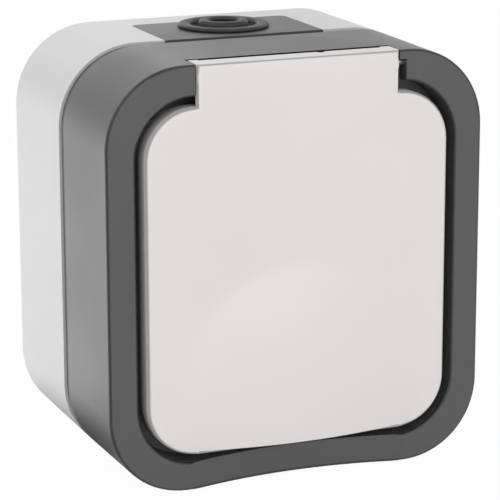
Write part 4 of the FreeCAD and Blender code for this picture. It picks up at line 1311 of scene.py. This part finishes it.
@dataclass
class Studio:
    """Pale floor, even world light, soft lamps and the camera at the picture's angle.

    Attributes:
        floor_height: Height of the floor, just under the housing.
        floor_size: Length of the floor's sides.
        floor_colour: sRGB hex colour of the floor.
        floor_white: Share of plain white in what the camera sees of the floor; the rest keeps
            the part's shadow.
        foot: Middle of the floor under the part.
        painted_shadow_edge: Distances from it where the painted shadow that reflections see on the
            floor ends, and where its painted glow is full.
        painted_foot_shadow: What that painted shadow adds to white; below nothing, it takes away.
        painted_glow_from: Places along Y between which the painted shadow and glow begin for
            reflections.
        fill: Strength of the world's light.
        lamps: The lamps.
        target: Point at which the lamps look.
        camera_place: The camera's position.
        camera_aim: Direction in which the camera looks.
        camera_roll_deg: Turn of the camera about its own axis.
        lens_mm: Focal length on the sensor.
        sensor_mm: Width of the sensor.
    """

    floor_height: float = -35.6 * MM
    floor_size: float = 4.0
    floor_colour: str = "#F2F2F2"
    floor_white: float = 0.965
    foot: Triple = (0.0, -0.024, -35.6 * MM)
    # Painted shadow and painted glow of the floor, seen only in reflections.
    painted_shadow_edge: Pair = (0.035, 0.062)
    painted_foot_shadow: float = -0.85
    painted_glow_from: Pair = (-0.045, -0.030)
    fill: float = 0.70
    lamps: tuple[Lamp, ...] = (
        Lamp("front", (0.10, -0.98, 0.12), (0.80, 0.80), 3.3),
        Lamp("left", (-0.80, -0.10, 0.62), (0.80, 0.80), 1.8),
        Lamp("rear", (0.08, 0.93, 0.22), (0.50, 0.30), 0.5),
    )
    target: Triple = (0.0, -0.03, 0.0)
    camera_place: Triple = (-152.47 * MM, -397.67 * MM, 101.03 * MM)
    camera_aim: Triple = (0.36793, 0.89639, -0.24722)
    camera_roll_deg: float = 0.151
    lens_mm: float = 174.14
    sensor_mm: float = 36.0

    def build(self) -> None:
        """Builds the world light, the floor, the lamps and the camera."""
        self.add_world()
        self.add_floor()
        for lamp in self.lamps:
            lamp.hang(self.target)
        self.add_camera()

    def background_mask(self, tree: Tree) -> Source:
        """Gives one where a ray comes straight from the camera, a reflection or a clear body.

        Args:
            tree: The node tree to add to.

        Returns:
            What carries the mask.
        """
        path = add_node(tree, "ShaderNodeLightPath").outputs
        total: Source = path["Is Camera Ray"]
        for name in ("Is Glossy Ray", "Is Transmission Ray"):
            links = {0: total, 1: path[name]}
            total = add_node(tree, "ShaderNodeMath", {"operation": "MAXIMUM"}, links)
        return total

    def add_world(self) -> None:
        """Lights the object evenly and shows white behind it."""
        world = bpy.data.worlds.new("studio")
        bpy.context.scene.world = world
        world.use_nodes = True
        tree = world.node_tree
        tree.nodes.clear()
        colour = {"Color": (1, 1, 1, 1)}
        fill = add_node(tree, "ShaderNodeBackground", colour | {"Strength": self.fill})
        white = add_node(tree, "ShaderNodeBackground", colour | {"Strength": 1.0})
        links = {0: self.background_mask(tree), 1: fill, 2: white}
        mix = add_node(tree, "ShaderNodeMixShader", links=links)
        add_node(tree, "ShaderNodeOutputWorld", links={"Surface": mix})

    def add_floor(self) -> None:
        """Lays a pale floor that shows nearly white and keeps the object's shadow; to reflections
        it has a painted shadow at the part's foot and a painted glow further back.
        """
        bpy.ops.mesh.primitive_plane_add(size=self.floor_size, location=(0, 0, self.floor_height))
        floor = bpy.context.object
        floor.name = "floor"
        material = empty_material("pale_floor")
        tree = material.node_tree
        matt = add_node(tree, "ShaderNodeBsdfDiffuse", {"Color": hex_to_linear(self.floor_colour)})
        white = {"Color": (1, 1, 1, 1)}
        light = {"Strength": self.painted_floor_light(tree)}
        glow = add_node(tree, "ShaderNodeEmission", white, light)
        share = add_node(
            tree,
            "ShaderNodeMath",
            {"operation": "MULTIPLY", 1: self.floor_white},
            {0: self.background_mask(tree)},
        )
        mix = add_node(tree, "ShaderNodeMixShader", links={0: share, 1: matt, 2: glow})
        add_node(tree, "ShaderNodeOutputMaterial", links={"Surface": mix})
        floor.data.materials.append(material)

    def painted_floor_light(self, tree: Tree) -> Source:
        """Gives one, and to reflections a painted shadow at the part's foot and a painted glow,
        brighter than white, further back.

        Args:
            tree: The floor's node tree.

        Returns:
            What carries the floor's strength.
        """
        place = add_node(tree, "ShaderNodeNewGeometry").outputs["Position"]
        away = add_node(
            tree, "ShaderNodeVectorMath", {"operation": "DISTANCE", 1: self.foot}, {0: place}
        ).outputs["Value"]
        depth = add_node(tree, "ShaderNodeSeparateXYZ", links={"Vector": place}).outputs["Y"]
        begin, full = self.painted_glow_from
        painted_behind = add_node(
            tree, "ShaderNodeMapRange", {"From Min": begin, "From Max": full}, {"Value": depth}
        )
        # Painted shadow at the part's foot, rising to a painted glow above white further out.
        near, far = self.painted_shadow_edge
        painted_shadow_to_glow = add_node(
            tree,
            "ShaderNodeMapRange",
            {"From Min": near, "From Max": far, "To Min": self.painted_foot_shadow, "To Max": 1.0},
            {"Value": away},
        )
        both = {0: painted_behind, 1: painted_shadow_to_glow}
        painted_glow_extra = add_node(tree, "ShaderNodeMath", {"operation": "MULTIPLY"}, both)
        # Only reflections see this painted shadow and glow; other rays get plain one.
        glossy = add_node(tree, "ShaderNodeLightPath").outputs["Is Glossy Ray"]
        over_white = {"operation": "MULTIPLY_ADD", 2: 1.0}
        return add_node(tree, "ShaderNodeMath", over_white, {0: glossy, 1: painted_glow_extra})

    def add_camera(self) -> None:
        """Places the camera as the picture shows the object."""
        data = bpy.data.cameras.new("camera")
        data.lens = self.lens_mm
        data.sensor_width = self.sensor_mm
        data.clip_start = 0.01
        data.clip_end = 20.0
        camera = bpy.data.objects.new("camera", data)
        bpy.context.collection.objects.link(camera)
        aim = Vector(self.camera_aim).normalized()
        roll = Quaternion(aim, math.radians(self.camera_roll_deg))
        camera.rotation_mode = "QUATERNION"
        camera.rotation_quaternion = roll @ aim.to_track_quat("-Z", "Y")
        camera.location = self.camera_place
        bpy.context.scene.camera = camera


def main() -> None:
    """Builds the scene in order: frame, finishes, pieces, studio."""
    logging.basicConfig(level=logging.INFO)
    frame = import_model()
    palette = Palette()
    CarriedNodes(frame).dress(palette)
    for builder in (EntryPlate(), EntryGrommet(), LidSpring(), Lid()):
        piece = builder.build(palette)
        LOG.info("modelled %s with %d faces", piece.name, len(piece.data.polygons))
    Studio().build()
    bpy.context.scene.view_settings.view_transform = "Standard"


if __name__ == "__main__":
    main()
